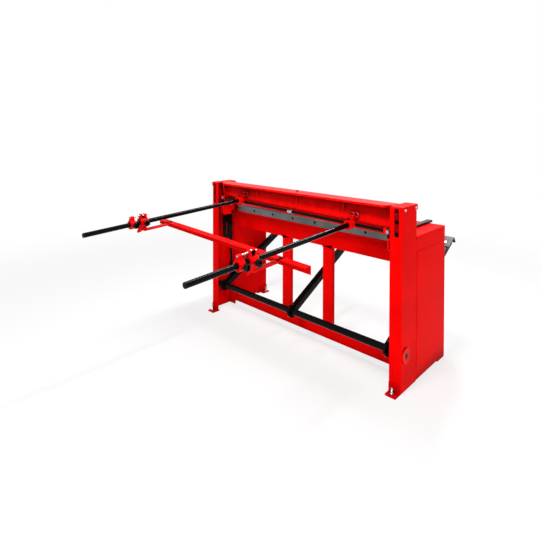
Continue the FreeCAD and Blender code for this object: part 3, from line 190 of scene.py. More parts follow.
finishes = {
    # alkyd enamel sprayed on steel plate: deep red, glossy, with a faint orange peel drawn at 9 mm to show, and
    # painted shade in its corners
    "redEnamel": surface({"name": "red enamel on plate", "colour": "#E80403", "second": "#DA0302",
                          "patchMm": 320, "grainMm": 9, "reliefMm": 0.03, "roughness": (0.3, 0.42),
                          "metallic": 0.0, "ior": 1.06, "corner": "#560204", "cornerMm": 170}),
    # the same enamel in the channels, with a lighter and shorter painted shade in their corners
    "redChannel": surface({"name": "red enamel in the channels", "colour": "#E80403", "second": "#DA0302",
                           "patchMm": 200, "grainMm": 9, "reliefMm": 0.03, "roughness": (0.3, 0.42),
                           "metallic": 0.0, "ior": 1.06, "corner": "#8E0304", "cornerMm": 45}),
    # the same enamel over a sand casting: the lumps of the mould stay under the paint, and its corners get a
    # deep painted shade
    "redCasting": surface({"name": "red enamel on castings", "colour": "#EC0504", "second": "#D60302",
                           "patchMm": 60, "grainMm": 4, "reliefMm": 0.16, "roughness": (0.26, 0.42),
                           "metallic": 0.0, "ior": 1.13, "corner": "#3A0103", "cornerMm": 100}),
    # dark red and dull: a sheet of painted shade for the bottom of the slots
    "redPrimer": surface({"name": "red oxide primer", "colour": "#8E070B", "second": "#6C0508", "patchMm": 30,
                          "grainMm": 3, "reliefMm": 0.08, "roughness": (0.6, 0.75), "metallic": 0.0,
                          "ior": 1.1}),
    # black enamel on welded tube: near black, half glossy
    "blackEnamel": surface({"name": "black enamel on tube", "colour": "#060505", "second": "#030303",
                            "patchMm": 200, "grainMm": 7, "reliefMm": 0.04, "roughness": (0.22, 0.34),
                            "metallic": 0.0, "ior": 1.16}),
    # hot black oxide on drawn bar: black with a hard light along the top, drawing lines every 3 mm to show
    "blackSteel": surface({"name": "black oxide on drawn bar", "colour": "#050404", "second": "#020202",
                           "patchMm": 60, "grainMm": 3, "stretch": (1, 30, 1), "reliefMm": 0.003,
                           "roughness": (0.1, 0.16), "metallic": 0.0, "ior": 1.17}),
    # tool steel off the surface grinder: grey with lines along the blade, drawn 2 mm apart to show
    "groundSteel": surface({"name": "ground tool steel", "colour": "#6E7273", "second": "#5A5E60",
                            "patchMm": 140, "grainMm": 2, "stretch": (60, 1, 1), "reliefMm": 0.004,
                            "roughness": (0.3, 0.45), "metallic": 1.0, "ior": 1.5}),
    # zinc plate on machined steel: bright and slightly cloudy, with a brownish painted shade in its narrow
    # corners
    "zincPlate": surface({"name": "zinc plate", "colour": "#C9CBCD", "second": "#A8AAAC", "patchMm": 8,
                          "grainMm": 2, "reliefMm": 0.006, "roughness": (0.2, 0.34), "metallic": 1.0,
                          "ior": 1.5, "corner": "#4A4038", "cornerMm": 8}),
    # bearing bronze, oiled: warm and dull
    "bronze": surface({"name": "oiled bearing bronze", "colour": "#9C6B32", "second": "#7A4F22",
                       "patchMm": 14, "grainMm": 2, "reliefMm": 0.01, "roughness": (0.3, 0.42),
                       "metallic": 1.0, "ior": 1.5}),
    # moulded phenolic: black with a soft sheen
    "phenolic": surface({"name": "moulded phenolic", "colour": "#050505", "second": "#030303",
                         "patchMm": 25, "grainMm": 3, "reliefMm": 0.01, "roughness": (0.2, 0.3),
                         "metallic": 0.0, "ior": 1.2}),
}
finishOfSlot = {
    "red_paint": "redEnamel", "black_paint": "blackEnamel", "blued_steel": "blackSteel",
    "blade_steel": "groundSteel", "zinc_steel": "zincPlate", "bearing_bronze": "bronze",
    "black_plastic": "phenolic",
}
print("finishes mixed")

# Studio: pale floor, white surroundings and soft lamps
studio = {
    "floorColour": "#F2F2F2",
    "floorSize": 80.0,
    "floorWhite": (0.72, 1.0),  # how much of its own white the floor shows: by the machine, and far off
    "floorFade": (1.6, 4.5),  # metres from the middle
    "worldLight": 0.2,
    "lamps": [  # name, place, aimed at, width, height, watts
        ("operatorStrip", (0.1, -1.6, 3.3), (-0.3, 0.1, 0.6), 0.18, 2.4, 122),
        ("rearKey", (-0.5, 1.9, 3.4), (0.0, 0.0, 0.7), 0.9, 0.7, 86),
        ("behindMachine", (-1.0, 4.4, 1.6), (0.0, 0.1, 0.6), 2.6, 2.0, 20),
        ("nearSide", (-3.9, 1.5, 1.9), (-0.4, -0.2, 0.5), 2.0, 2.0, 76),
    ],
}


def pickNothing():
    bpy.ops.object.select_all(action="DESELECT")


def whiteRays(tree):
    # 1 for rays from the camera, in a reflection or through glass, which see plain white
    path = addNode(tree, "ShaderNodeLightPath")
    seen = addNode(tree, "ShaderNodeMath", {"operation": "MAXIMUM"},
                   {0: path.outputs["Is Camera Ray"], 1: path.outputs["Is Glossy Ray"]})
    return addNode(tree, "ShaderNodeMath", {"operation": "MAXIMUM"},
                   {0: seen.outputs[0], 1: path.outputs["Is Transmission Ray"]})


def makeFloor(settings):
    material, tree = newMaterial("pale floor")
    matt = addNode(tree, "ShaderNodeBsdfDiffuse", {"Color": hexColour(settings["floorColour"])})
    white = addNode(tree, "ShaderNodeEmission", {"Color": (1, 1, 1, 1), "Strength": 1.0})
    coordinates = addNode(tree, "ShaderNodeTexCoord").outputs["Object"]
    far = addNode(tree, "ShaderNodeVectorMath", {"operation": "LENGTH"}, {0: coordinates})
    low, high = settings["floorFade"]
    least, most = settings["floorWhite"]
    fade = addNode(tree, "ShaderNodeMapRange", {"interpolation_type": "SMOOTHSTEP", "From Min": low,
                                                "From Max": high, "To Min": least, "To Max": most},
                   {"Value": far.outputs["Value"]})
    share = addNode(tree, "ShaderNodeMath", {"operation": "MULTIPLY"},
                    {0: whiteRays(tree).outputs[0], 1: fade.outputs[0]})
    both = addNode(tree, "ShaderNodeMixShader", {},
                   {0: share.outputs[0], 1: matt.outputs[0], 2: white.outputs[0]})
    addNode(tree, "ShaderNodeOutputMaterial", {}, {"Surface": both.outputs[0]})
    pickNothing()
    bpy.ops.mesh.primitive_plane_add(size=settings["floorSize"], location=(0, 0, 0))
    floor = bpy.context.object
    floor.name = "floor"
    floor.data.materials.append(material)


def makeStudio(settings):
    scene = bpy.context.scene
    scene.view_settings.view_transform = "Standard"
    world = bpy.data.worlds.new("whiteSurroundings")
    scene.world = world
    world.use_nodes = True
    tree = world.node_tree
    tree.nodes.clear()
    seen = whiteRays(tree)
    lit = addNode(tree, "ShaderNodeBackground", {"Color": (1, 1, 1, 1), "Strength": settings["worldLight"]})
    white = addNode(tree, "ShaderNodeBackground", {"Color": (1, 1, 1, 1), "Strength": 1.0})
    both = addNode(tree, "ShaderNodeMixShader", {},
                   {0: seen.outputs[0], 1: lit.outputs[0], 2: white.outputs[0]})
    addNode(tree, "ShaderNodeOutputWorld", {}, {"Surface": both.outputs[0]})
    makeFloor(settings)
    for name, place, aim, width, height, watts in settings["lamps"]:
        data = bpy.data.lights.new(name, "AREA")
        data.shape = "RECTANGLE"
        data.size, data.size_y, data.energy = width, height, watts
        lamp = bpy.data.objects.new(name, data)
        scene.collection.objects.link(lamp)
        lamp.location = place
        lamp.rotation_euler = (Vector(aim) - Vector(place)).to_track_quat("-Z", "Y").to_euler()


makeStudio(studio)
print("studio lit")


# Workshop helpers
def pickOnly(piece):
    pickNothing()
    piece.select_set(True)
    bpy.context.view_layer.objects.active = piece


def openEdit(piece, kind):
    # opens a piece for editing with nothing picked
    pickOnly(piece)
    bpy.ops.object.mode_set(mode="EDIT")
    bpy.ops.mesh.select_mode(type=kind)
    bpy.ops.mesh.select_all(action="DESELECT")
    return bmesh.from_edit_mesh(piece.data)


def editFaces(piece, test):
    # picks the faces that pass a test of their centre and normal
    for face in openEdit(piece, "FACE").faces:
        face.select_set(bool(test(face.calc_center_median(), face.normal)))
    bmesh.update_edit_mesh(piece.data)


def editEdges(piece, test):
    # picks the edges that pass a test of their two ends
    for edge in openEdit(piece, "EDGE").edges:
        edge.select_set(bool(test(edge.verts[0].co, edge.verts[1].co)))
    bmesh.update_edit_mesh(piece.data)


def editPoints(piece, test):
    # picks the points that pass a test of their place
    for point in openEdit(piece, "VERT").verts:
        point.select_set(bool(test(point.co)))
    bmesh.update_edit_mesh(piece.data)


def closeEdit():
    bpy.ops.object.mode_set(mode="OBJECT")


def applyModifier(piece, kind, settings):
    pickOnly(piece)
    modifier = piece.modifiers.new("step", kind)
    for key, value in settings.items():
        setattr(modifier, key, value)
    bpy.ops.object.modifier_apply(modifier="step")


def bevelArrises(piece, widthMm, segments=2, angle=32, clamp=False):
    applyModifier(piece, "BEVEL", {"width": widthMm / 1000, "segments": segments, "limit_method": "ANGLE",
                                   "angle_limit": math.radians(angle), "use_clamp_overlap": clamp})


def settle(name):
    # names a new primitive and moves its place into its mesh
    piece = bpy.context.object
    piece.name = name
    bpy.ops.object.transform_apply(location=True, rotation=True, scale=True)
    return piece


def bar(name, radiusMm, lengthMm, sides=32, startMm=0.0):
    # a round bar, or with six sides a hexagonal one, that stands on Z from startMm up
    pickNothing()
    bpy.ops.mesh.primitive_cylinder_add(vertices=sides, radius=radiusMm / 1000, depth=lengthMm / 1000,
                                        location=(0, 0, (startMm + lengthMm / 2) / 1000))
    return settle(name)


def carve(piece, tool, operation="DIFFERENCE"):
    applyModifier(piece, "BOOLEAN", {"operation": operation, "object": tool, "solver": "EXACT"})
    bpy.data.objects.remove(tool)


def joinPieces(pieces, name):
    if len(pieces) == 1:
        pieces[0].name = name
        return pieces[0]
    pickNothing()
    for piece in pieces:
        piece.select_set(True)
    bpy.context.view_layer.objects.active = pieces[0]
    bpy.ops.object.join()
    joined = bpy.context.object
    joined.name = name
    return joined


def copiesAt(pattern, places, name):
    # one copy of a pattern, with its own mesh, for each matrix, all joined into one piece
    made = []
    pattern.name = "pattern"
    for place in places:
        twin = pattern.copy()
        twin.data = pattern.data.copy()
        bpy.context.scene.collection.objects.link(twin)
        twin.data.transform(place)
        made.append(twin)
    bpy.data.objects.remove(pattern)
    return joinPieces(made, name)


def finishPiece(piece, finish, node, angle=34):
    # smooth shading, the paint or plate, and the body and slot of the node it belongs to
    pickOnly(piece)
    bpy.ops.object.shade_smooth_by_angle(angle=math.radians(angle))
    applyModifier(piece, "WEIGHTED_NORMAL", {"keep_sharp": True})
    piece.data.materials.clear()
    piece.data.materials.append(finishes[finish])
    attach(piece, bodyOf[node])


def fitCopies(pattern, places, node, finish, name):
    # copies of a pattern at their places, as one piece that stands for a node
    piece = copiesAt(pattern, places, name)
    finishPiece(piece, finish, node)
    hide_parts(node)


# Sheet and cast pieces: a copy of each CAD piece gets its folded or broken edges, and its paint
dressing = {  # node: width of the edge in mm, finish
    "column_left": (1.8, "redChannel"), "column_right": (1.8, "redChannel"),
    "column_caps": (1.2, "redEnamel"), "side_plate_left": (1.0, "redEnamel"),
    "side_plate_right": (1.0, "redEnamel"), "side_cover_left": (1.2, "redEnamel"),
    "side_cover_right": (1.2, "redEnamel"), "table_top": (1.5, "redEnamel"),
    "blade_bar": (1.2, "redEnamel"), "bed_web": (1.0, "redEnamel"), "bed_post_left": (1.6, "redEnamel"),
    "bed_post_right": (1.6, "redEnamel"), "cross_member": (1.6, "redEnamel"),
    "front_rail": (1.5, "redEnamel"), "rear_feet": (1.0, "redEnamel"), "front_feet": (1.0, "redEnamel"),
    "bearing_flanges": (1.2, "redCasting"), "ram_beam": (1.6, "redCasting"),
    "ram_end_left": (1.6, "redCasting"), "ram_end_right": (1.6, "redCasting"),
    "rod_hubs": (1.2, "redCasting"), "lock_blocks": (1.2, "redCasting"), "carriages": (1.2, "redCasting"),
    "gauge_bar": (0.9, "redEnamel"), "ram_guides": (0.6, "redChannel"),
    "hold_down_cups": (1.2, "redCasting"), "treadle_shaft": (1.0, "blackEnamel"),
    "treadle_arms": (1.4, "blackEnamel"), "foot_board": (1.2, "blackEnamel"),
    "pull_link_left": (1.0, "blackEnamel"), "pull_link_right": (1.0, "blackEnamel"),
    "hold_down": (0.8, "blackEnamel"), "link_pins": (0.6, "blackSteel"),
    "lower_link_pins": (0.6, "blackSteel"), "gib_strips": (0.5, "blackSteel"),
    "lower_blade": (0.25, "groundSteel"), "upper_blade": (0.25, "groundSteel"),
    "side_gauge": (0.6, "blackSteel"), "shaft_bushes": (0.5, "bronze"),
}
clampedNodes = ("column_left", "column_right")  # their small faces would cross over in a full bevel


def mergedCopy(node, name):
    # a copy of a CAD piece with its loose triangles merged, still open for editing
    piece = nodes[node].copy()
    piece.data = nodes[node].data.copy()
    piece.name = name
    bpy.context.scene.collection.objects.link(piece)
    pickOnly(piece)
    bpy.ops.object.mode_set(mode="EDIT")
    bpy.ops.mesh.select_all(action="SELECT")
    bpy.ops.mesh.remove_doubles(threshold=0.00002)
    return piece


def dressNode(node, widthMm, finish):
    piece = mergedCopy(node, "dressed_" + node)
    bpy.ops.mesh.dissolve_limited(angle_limit=math.radians(0.6))
    closeEdit()
    bevelArrises(piece, widthMm, clamp=node in clampedNodes)
    finishPiece(piece, finish, node)
    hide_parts(node)


for node, (widthMm, finish) in dressing.items():
    dressNode(node, widthMm, finish)
print("plates and castings dressed")


# Turned and threaded pieces, each modelled once, standing on Z
thread = {"sides": 20, "core": 0.87}  # every other ring is drawn in to this share
hexShape = {"turned": 0.575, "cone": 0.1, "washer": 0.66}  # radius, cone and washer, per mm across the flats
socketShape = {"radius": 0.56, "rim": 0.12, "deep": 0.55}  # per mm of the head's radius, and of its height


def breakRim(piece, widthMm, heightMm, segments=1):
    # bevels the round edges that lie at one height
    high = heightMm / 1000
    editEdges(piece, lambda a, b: abs(a.z - high) < 1e-5 and abs(b.z - high) < 1e-5)
    bpy.ops.mesh.bevel(offset=widthMm / 1000, segments=segments, affect="EDGES")
    closeEdit()


def pinchRings(piece, startMm, lengthMm, rings, pinch):
    # cuts a bar into rings and draws in every other one
    editEdges(piece, lambda a, b: abs(a.z - b.z) > 1e-4)
    bpy.ops.mesh.subdivide(number_cuts=rings)
    closeEdit()
    step = lengthMm / 1000 / (rings + 1)
    editEdges(piece, lambda a, b: abs(a.z - b.z) < 1e-6 and round((a.z - startMm / 1000) / step) % 2 == 0)
    bpy.ops.transform.resize(value=(pinch, pinch, 1), center_override=(0, 0, 0))
    closeEdit()


def threadedBar(name, radiusMm, startMm, endMm, pitchMm):
    # pinched rings, two to a pitch, read as a thread
    lengthMm = endMm - startMm
    piece = bar(name, radiusMm, lengthMm, thread["sides"], startMm)
    pinchRings(piece, startMm, lengthMm, 2 * int(lengthMm / pitchMm) + 1, thread["core"])
    return piece


def hexHead(acrossMm, highMm, startMm=0.0):
    # a hexagon whose corners are turned off to a cone at the top
    head = bar("hexHead", acrossMm / math.sqrt(3), highMm, 6, startMm)
    turned = bar("turned", acrossMm * hexShape["turned"], highMm + 0.2, 48, startMm - 0.1)
    breakRim(turned, acrossMm * hexShape["cone"], startMm + highMm + 0.1)
    carve(head, turned, "INTERSECT")
    return head


def washer(radiusMm, thickMm, startMm=0.0):
    disc = bar("washer", radiusMm, thickMm, 40, startMm)
    breakRim(disc, thickMm * 0.25, startMm + thickMm)
    return disc


def hexBolt(size):
    # a bolt head on its washer, or a nut on it with the stud's end standing out
    parts = [washer(size["across"] * hexShape["washer"], size["washer"]),
             hexHead(size["across"], size["high"] - size["washer"], size["washer"])]
    if "stud" in size:
        end = size["high"] + size["standsOut"]
        stud = threadedBar("end", size["stud"], size["high"] - 1, end, size["pitch"])
        breakRim(stud, size["rim"], end)
        parts.append(stud)
    return joinPieces(parts, "bolt")


def socketScrew(size):
    # a cap head with its hexagon socket and broken rim
    head = bar("head", size["radius"], size["high"], 36)
    breakRim(head, size["radius"] * socketShape["rim"], size["high"], 2)
    deep = size["high"] * socketShape["deep"]
    carve(head, bar("socket", size["radius"] * socketShape["radius"], 2 * deep, 6, size["high"] - deep))
    return head


capBolt = {"across": 13, "high": 5.5, "washer": 1.2, "atSide": 828.5, "atDeep": (31, 161), "atUp": 1016}
fitCopies(hexBolt(capBolt),
          [facing(spot(side * capBolt["atSide"], deep, capBolt["atUp"]), (side, 0, 0), 20 + deep)
           for side in bothSides for deep in capBolt["atDeep"]], "cap_bolts", "zincPlate", "capBolts")

gibScrew = {"across": 19, "high": 6.5, "washer": 1.0, "stud": 5.0, "standsOut": 0.8, "pitch": 1.5,
            "rim": 0.6, "atSide": 794, "atDeep": 6, "atUp": (882, 952, 1015)}
fitCopies(hexBolt(gibScrew),
          [facing(spot(side * gibScrew["atSide"], gibScrew["atDeep"], up), (0, 1, 0), up)
           for side in bothSides for up in gibScrew["atUp"]], "gib_screws", "blackSteel", "gibScrews")

guideBolt = {"across": 14, "high": 5, "washer": 1.2, "atSide": 808.5, "atDeep": 44, "atUp": (885, 950, 1014)}
fitCopies(hexBolt(guideBolt),
          [facing(spot(side * guideBolt["atSide"], guideBolt["atDeep"], up), (-side, 0, 0), up)
           for side in bothSides for up in guideBolt["atUp"]], "guide_bolts", "zincPlate", "guideBolts")

gaugeScrew = {"radius": 6.6, "high": 7, "atSide": -707.5, "atDeep": (260, 420, 560), "atUp": 852}
fitCopies(socketScrew(gaugeScrew),
          [facing(spot(gaugeScrew["atSide"], deep, gaugeScrew["atUp"]), (0, 0, 1), deep)
           for deep in gaugeScrew["atDeep"]], "side_gauge_screws", "zincPlate", "sideGaugeScrews")

treadle = {"pivotDeep": 52.8, "pivotUp": 205.4, "rise": 27.8, "arms": (-717, 13, 731)}
boardBolt = {"radius": 9, "high": 4, "alongArm": 932, "aboveArm": 26}


def onBoard(across):
    # a place on the board over an arm, facing square off it
    lean = math.radians(treadle["rise"])
    out, lift = boardBolt["alongArm"], boardBolt["aboveArm"]
    place = spot(across, treadle["pivotDeep"] + out * math.cos(lean) - lift * math.sin(lean),
                 treadle["pivotUp"] + out * math.sin(lean) + lift * math.cos(lean))
    return facing(place, (0, math.sin(lean), math.cos(lean)), 15)


fitCopies(socketScrew(boardBolt), [onBoard(across) for across in treadle["arms"]],
          "board_bolts", "zincPlate", "boardBolts")

barBolt = {"across": 13, "high": 5, "washer": 1.0, "alongRod": 582, "aboveRod": -39.8}
fitCopies(hexBolt(barBolt), [onRod(side, barBolt["alongRod"], barBolt["aboveRod"]) for side in bothSides],
          "gauge_bar_bolts", "blackSteel", "gaugeBarBolts")

levelling = {"radius": 6, "start": 0.5, "top": 48, "pitch": 1.75, "rim": 0.8,
             "nutAcross": 19, "nutHigh": 10, "nutStart": 8,
             # across, deep and the turn of each
             "feet": ((-788, -30, 0.3), (788, -30, 0.1), (-768, 555, 0.5), (768, 555, 0.2))}


def levellingFoot(size):
    stud = threadedBar("stud", size["radius"], size["start"], size["top"], size["pitch"])
    breakRim(stud, size["rim"], size["top"])
    return joinPieces([stud, hexHead(size["nutAcross"], size["nutHigh"], size["nutStart"])], "levellingFoot")


fitCopies(levellingFoot(levelling),
          [Matrix.Translation(spot(across, deep, 0)) @ Matrix.Rotation(turn, 4, "Z")
           for across, deep, turn in levelling["feet"]], "levelling_screws", "zincPlate", "levellingFeet")
print("bolts and feet turned")

# Back gauge: rods with faced ends, knobs, knurled nuts and fine screws
rods = {"radius": 14, "start": -45, "end": 1148.5, "rim": 1.5, "bore": 3.5, "boreLong": 4, "boreBack": 1.9}


def gaugeRod(size):
    # a bar with its rims broken and a centre bore in its free end
    rod = bar("rod", size["radius"], size["end"] - size["start"], 64, size["start"])
    breakRim(rod, size["rim"], size["end"])
    breakRim(rod, size["rim"], size["start"])
    pickNothing()
    bpy.ops.mesh.primitive_cone_add(vertices=32, radius1=0, radius2=size["bore"] / 1000,
                                    depth=size["boreLong"] / 1000,
                                    location=(0, 0, (size["end"] - size["boreBack"]) / 1000))
    carve(rod, settle("centreBore"))
    return rod


along = Matrix.Rotation(math.radians(-90), 4, "X")  # lays a piece that stands on Z along the rod
fitCopies(gaugeRod(rods), [rodFrame(side) @ along for side in bothSides],
          "gauge_rods", "blackSteel", "gaugeRods")

knob = {"radius": 18, "lobes": 6, "start": 39, "end": 57, "flute": 5.2, "fluteOut": 20.5, "dish": 30,
        "dishOut": 28.2, "edge": 1.3, "collar": 9, "collarStart": 34.5, "rim": 0.8, "stud": 5,
        "studStart": 14.3, "pitch": 1.25}
gauge = {"lockAt": 852, "carriageAt": 778, "fineAbove": 43}  # mm along a rod, and the fine screw's mm above it


def clampKnob(size):
    # a lobed grip, dished in its end, on a collar
    grip = bar("grip", size["radius"], size["end"] - size["start"], 72, size["start"])
    for i in range(size["lobes"]):
        turn = (i + 0.5) * 2 * math.pi / size["lobes"]
        flute = bar("flute", size["flute"], 40, 28, size["start"] - 10)  # stands out at both ends
        flute.data.transform(Matrix.Translation(Vector((math.cos(turn), math.sin(turn), 0))
                                                * size["fluteOut"] / 1000))
        carve(grip, flute)
    pickNothing()
    bpy.ops.mesh.primitive_uv_sphere_add(segments=48, ring_count=24, radius=size["dish"] / 1000,
                                         location=(0, 0, (size["end"] + size["dishOut"]) / 1000))
    carve(grip, settle("dish"))
    bevelArrises(grip, size["edge"], 3, 30)
    collar = bar("collar", size["collar"], size["start"] + 0.5 - size["collarStart"], 48, size["collarStart"])
    breakRim(collar, size["rim"], size["collarStart"])
    return joinPieces([grip, collar], "knob")


def knobStud(size):
    return threadedBar("knobStud", size["stud"], size["studStart"], size["collarStart"] + 1, size["pitch"])


sideways = Matrix.Rotation(math.radians(-90), 4, "Y")  # lays a piece that stands on Z towards low x
for side, name in zip(bothSides, ("left", "right")):
    for node, far in (("lock_knob_", gauge["lockAt"]), ("carriage_knob_", gauge["carriageAt"])):
        at = onRod(side, far) @ sideways @ Matrix.Rotation(far, 4, "Z")
        fitCopies(clampKnob(knob), [at], node + name, "phenolic", node + name + "_grip")
        stud = copiesAt(knobStud(knob), [at], node + name + "_stud")
        finishPiece(stud, "zincPlate", node + name)

fineNut = {"radius": 10, "wide": 10, "teeth": 30, "rim": 1.2, "knurl": 0.93}


def knurledNut(size):
    nut = bar("nut", size["radius"], size["wide"], size["teeth"] * 2, -size["wide"] / 2)
    step = math.pi / size["teeth"]
    for rim in (-0.5, 0.5):
        breakRim(nut, size["rim"], rim * size["wide"])
    editEdges(nut, lambda a, b: abs(a.z - b.z) > 0.004 and round(math.atan2(a.y, a.x) / step) % 2 == 0)
    bpy.ops.transform.resize(value=(size["knurl"], size["knurl"], 1), center_override=(0, 0, 0))
    closeEdit()
    return nut


for side, name in zip(bothSides, ("left", "right")):
    at = onRod(side, gauge["carriageAt"], gauge["fineAbove"]) @ along
    fitCopies(knurledNut(fineNut), [at], "fine_nut_" + name, "zincPlate", "fineNut_" + name)

fineScrew = {"radius": 5, "start": 746, "end": 867, "pitch": 1.5, "rim": 0.8}


def adjustingScrew(size):
    screw = threadedBar("fineScrew", size["radius"], size["start"], size["end"], size["pitch"])
    breakRim(screw, size["rim"], size["end"])
    return screw


fitCopies(adjustingScrew(fineScrew), [onRod(side, 0, gauge["fineAbove"]) @ along for side in bothSides],
          "fine_screws", "zincPlate", "fineScrews")
print("back gauge fitted")

# Ram: truss rod and its fittings, cap screws, blade screws
truss = {"radius": 10, "deep": 36, "up": 898, "half": 742, "threadFrom": 690, "pitch": 2.5, "rim": 1.2,
         "nutAcross": 30, "nutHigh": 13, "washer": 17, "washerThick": 2.5, "washerStart": 720,
         "adjusterAcross": 27, "adjusterHigh": 17, "adjusterGap": 2, "adjusterAt": 16}
slope = math.tan(math.radians(machine["ramRake"]))


def trussLine(size):
    # the plain middle of the rod and its two threaded ends
    radius, inner, outer = size["radius"], size["threadFrom"], size["half"]
    middle = bar("trussRod", radius - 0.6, 2 * inner, 40, -inner)
    ends = [threadedBar("trussEnd", radius, inner, outer, size["pitch"]),
            threadedBar("trussEnd", radius, -outer, -inner, size["pitch"])]
    breakRim(ends[0], size["rim"], outer)
    breakRim(ends[1], size["rim"], -outer)
    return joinPieces([middle] + ends, "trussLine")


def trussNuts(size):
    # an end nut on its washer and half of the middle adjuster, then the same turned over for the other end
    over = Matrix.Rotation(math.pi, 4, "Y")
    parts = []
    for turned in (False, True):
        nut = hexHead(size["nutAcross"], size["nutHigh"], size["washerStart"] + size["washerThick"])
        disc = washer(size["washer"], size["washerThick"], size["washerStart"])
        adjuster = hexHead(size["adjusterAcross"], size["adjusterHigh"], size["adjusterGap"] / 2)
        if turned:
            for part in (nut, disc, adjuster):
                part.data.transform(over)
        adjuster.data.transform(Matrix.Translation((0, 0, size["adjusterAt"] / 1000)))
        parts += [nut, disc, adjuster]
    return joinPieces(parts, "trussNuts")


trussPlace = facing(spot(0, truss["deep"], truss["up"]), (1, 0, slope))  # Z along the rod, to the right
fitCopies(trussLine(truss), [trussPlace], "truss_rod", "blackSteel", "trussRod")
fitCopies(trussNuts(truss), [trussPlace], "truss_fittings", "zincPlate", "trussNuts")

# on each hub's pad two cap screws with washers, over each rod a set screw, in the top flange a plug
pad = {"across": 490, "step": 16.5, "deep": 53.8, "up": 955.95, "rise": 10.25, "lean": math.atan(0.3109)}
padPlaces = [facing(spot(side * pad["across"] + step, pad["deep"], pad["up"] + side * pad["rise"]),
                    (0, math.cos(pad["lean"]), math.sin(pad["lean"])), side + step)
             for side in bothSides for step in (-pad["step"], pad["step"])]
capScrew = {"radius": 7.2, "high": 8}
setScrew = {"radius": 7.4, "high": 10, "alongRod": -18, "aboveRod": 28.5}
plug = {"across": 14, "high": 8, "washer": 1.0, "place": (-14, 75, 1035)}
padWasher = {"radius": 9.2, "thick": 1.2, "start": 0.05}
ramScrews = [copiesAt(socketScrew(capScrew), padPlaces, "padScrews"),
             copiesAt(socketScrew(setScrew),
                      [onRod(side, setScrew["alongRod"], setScrew["aboveRod"]) for side in bothSides],
                      "setScrews"),
             copiesAt(hexBolt(plug), [facing(spot(*plug["place"]), (0, 0, 1), 12)], "plug")]
ramScrews = joinPieces(ramScrews, "ramScrews")
finishPiece(ramScrews, "blackSteel", "ram_screws")
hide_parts("ram_screws")
padWashers = copiesAt(washer(padWasher["radius"], padWasher["thick"], padWasher["start"]), padPlaces,
                      "padWashers")
finishPiece(padWashers, "zincPlate", "ram_screws")

sunk = {"radius": 8.6, "high": 4.6, "narrow": 0.55, "socket": 0.5, "socketLong": 5,
        "across": (-517, -319, -121, 77, 275, 473),
        "lowerDeep": 132.05, "lowerUp": 826.5, "upperDeep": 131.85, "upperUp": 885}


def sunkScrew(size):
    # a countersunk head with its socket, level with the blade's face
    head = bar("sunk", size["radius"], size["high"], 40, -size["high"])
    editFaces(head, lambda centre, normal: normal.z < -0.9)
    bpy.ops.transform.resize(value=(size["narrow"], size["narrow"], 1), center_override=(0, 0, 0))
    closeEdit()
    carve(head, bar("socket", size["radius"] * size["socket"], size["socketLong"], 6, -size["socketLong"] / 2))
    return head


fitCopies(sunkScrew(sunk), [facing(spot(x, sunk["lowerDeep"], sunk["lowerUp"]), (0, 1, 0), x)
                            for x in sunk["across"]], "lower_blade_screws", "blackSteel", "lowerBladeScrews")
fitCopies(sunkScrew(sunk), [facing(spot(x, sunk["upperDeep"], sunk["upperUp"] + x * slope), (0, -1, 0), x)
                            for x in sunk["across"]], "upper_blade_screws", "blackSteel", "upperBladeScrews")

# a dark red sheet at the bottom of each gib screw slot paints the shade in the recess
slot = {"across": 794, "deep": 5.6, "low": 882, "high": 1011, "radius": 14.3, "thick": 0.5}


def slotFloor(size):
    # a disc drawn out to the slot's length
    sheet = bar("slotFloor", size["radius"], size["thick"], 48)
    editPoints(sheet, lambda place: place.y > 1e-5)
    bpy.ops.transform.translate(value=(0, (size["high"] - size["low"]) / 1000, 0))
    closeEdit()
    return sheet


upright = Matrix.Rotation(math.radians(90), 4, "X")
slotFloors = copiesAt(slotFloor(slot),
                      [Matrix.Translation(spot(side * slot["across"], slot["deep"], slot["low"])) @ upright
                       for side in bothSides], "slotFloors")
finishPiece(slotFloors, "redPrimer", "gib_screws")

# Weld beads, rippled rings where the treadle's hubs meet its shaft
hubWeld = {"radius": 22.5, "bead": 2.6, "ripples": 26, "sink": 0.82, "out": 8.2}


def weldRing(size):
    pickNothing()
    bpy.ops.mesh.primitive_torus_add(major_segments=size["ripples"] * 2, minor_segments=10,
                                     major_radius=size["radius"] / 1000, minor_radius=size["bead"] / 1000)
    ring = bpy.context.object
    step = math.pi / size["ripples"]
    mesh = bmesh.new()
    mesh.from_mesh(ring.data)
    for point in mesh.verts:
        turn = math.atan2(point.co.y, point.co.x)
        if round(turn / step) % 2:
            middle = Vector((math.cos(turn), math.sin(turn), 0)) * size["radius"] / 1000
            point.co = middle + (point.co - middle) * size["sink"]
    mesh.to_mesh(ring.data)
    mesh.free()
    return ring


hubWelds = copiesAt(weldRing(hubWeld),
                    [facing(spot(x + side * hubWeld["out"], treadle["pivotDeep"], treadle["pivotUp"]),
                            (1, 0, 0), x) for x in treadle["arms"] for side in bothSides], "hubWelds")
finishPiece(hubWelds, "blackEnamel", "treadle_shaft", 60)
seam = {"sides": 10, "ringMm": 3.2, "fewest": 8, "sink": 0.8}


def weldSeam(start, end, beadMm):
    # a rippled bead between two points, in metres
    way = end - start
    lengthMm = way.length * 1000
    bead = bar("bead", beadMm, lengthMm, seam["sides"])
    pinchRings(bead, 0, lengthMm, max(seam["fewest"], int(lengthMm / seam["ringMm"])), seam["sink"])
    bead.data.transform(facing(start, way))
    return bead


# Frame seams: each post against the cross member, on three sides, and against the web behind
frameSeam = {"rear": 2.4, "flank": 2.2, "inset": 2}
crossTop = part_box("cross_member")[1][2]
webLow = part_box("bed_web")[0][2]
inset = frameSeam["inset"] / 1000


def seamAcross(node, up):
    # a bead along the rear edge of a node, where it stands on what carries it
    low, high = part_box(node)
    return weldSeam(Vector((low[0] + inset, high[1], up)), Vector((high[0] - inset, high[1], up)),
                    frameSeam["rear"])


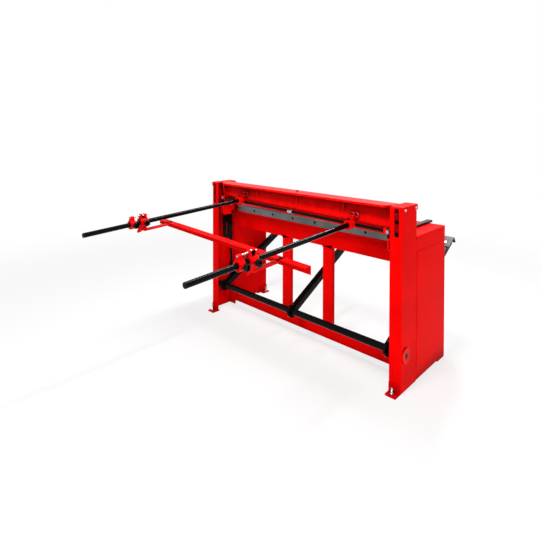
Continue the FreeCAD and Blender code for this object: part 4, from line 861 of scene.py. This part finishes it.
frameSeams = []
for node in ("bed_post_left", "bed_post_right"):
    frameSeams += [seamAcross(node, crossTop), seamAcross(node, webLow)]
    low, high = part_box(node)
    for across in (low[0], high[0]):
        frameSeams.append(weldSeam(Vector((across, low[1] + inset, crossTop)),
                                   Vector((across, high[1] - inset, crossTop)), frameSeam["flank"]))
frameSeams = joinPieces(frameSeams, "frameSeams")
finishPiece(frameSeams, "redEnamel", "cross_member", 60)

# the ribs' outer edges are rounded over and catch the light; low and high are mm deep and mm up
ribsAcross = (-397, -14, 369)
ribEdge = {"radius": 6.0, "rim": 1.0, "low": (58.0, 927.0), "high": (73.0, 1020.0)}
ribEdges = []
for across in ribsAcross:
    (lowDeep, lowUp), (highDeep, highUp) = ribEdge["low"], ribEdge["high"]
    foot, top = spot(across, lowDeep, lowUp + across * slope), spot(across, highDeep, highUp)
    lengthMm = (top - foot).length * 1000
    edge = bar("ribEdge", ribEdge["radius"], lengthMm, 24)
    breakRim(edge, ribEdge["rim"], lengthMm)
    edge.data.transform(facing(foot, top - foot))
    ribEdges.append(edge)
ribEdges = joinPieces(ribEdges, "ribEdges")
finishPiece(ribEdges, "redCasting", "ram_beam")

ribSeam = {"bead": 2.6, "aside": 6, "low": (60.5, 934), "high": (84.5, 1018)}
ribSeams = []
for across in ribsAcross:
    for aside in (-ribSeam["aside"], ribSeam["aside"]):
        (lowDeep, lowUp), (highDeep, highUp) = ribSeam["low"], ribSeam["high"]
        ribSeams.append(weldSeam(spot(across + aside, highDeep, highUp),
                                 spot(across + aside, lowDeep, lowUp + across * slope), ribSeam["bead"]))
ribSeams = joinPieces(ribSeams, "ribSeams")
finishPiece(ribSeams, "redCasting", "ram_beam", 60)

# the return springs: a merged copy of them in black steel stands in their place
coils = mergedCopy("return_springs", "coilSprings")
closeEdit()
finishPiece(coils, "blackSteel", "return_springs", 50)
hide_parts("return_springs")
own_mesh(coils)
print("ram fitted")

# the CAD pieces that nothing is dressed over show their slot's finish
for node, piece in nodes.items():
    if node not in dressing:
        piece.data.materials.clear()
        piece.data.materials.append(finishes[finishOfSlot[slotOf[node]]])
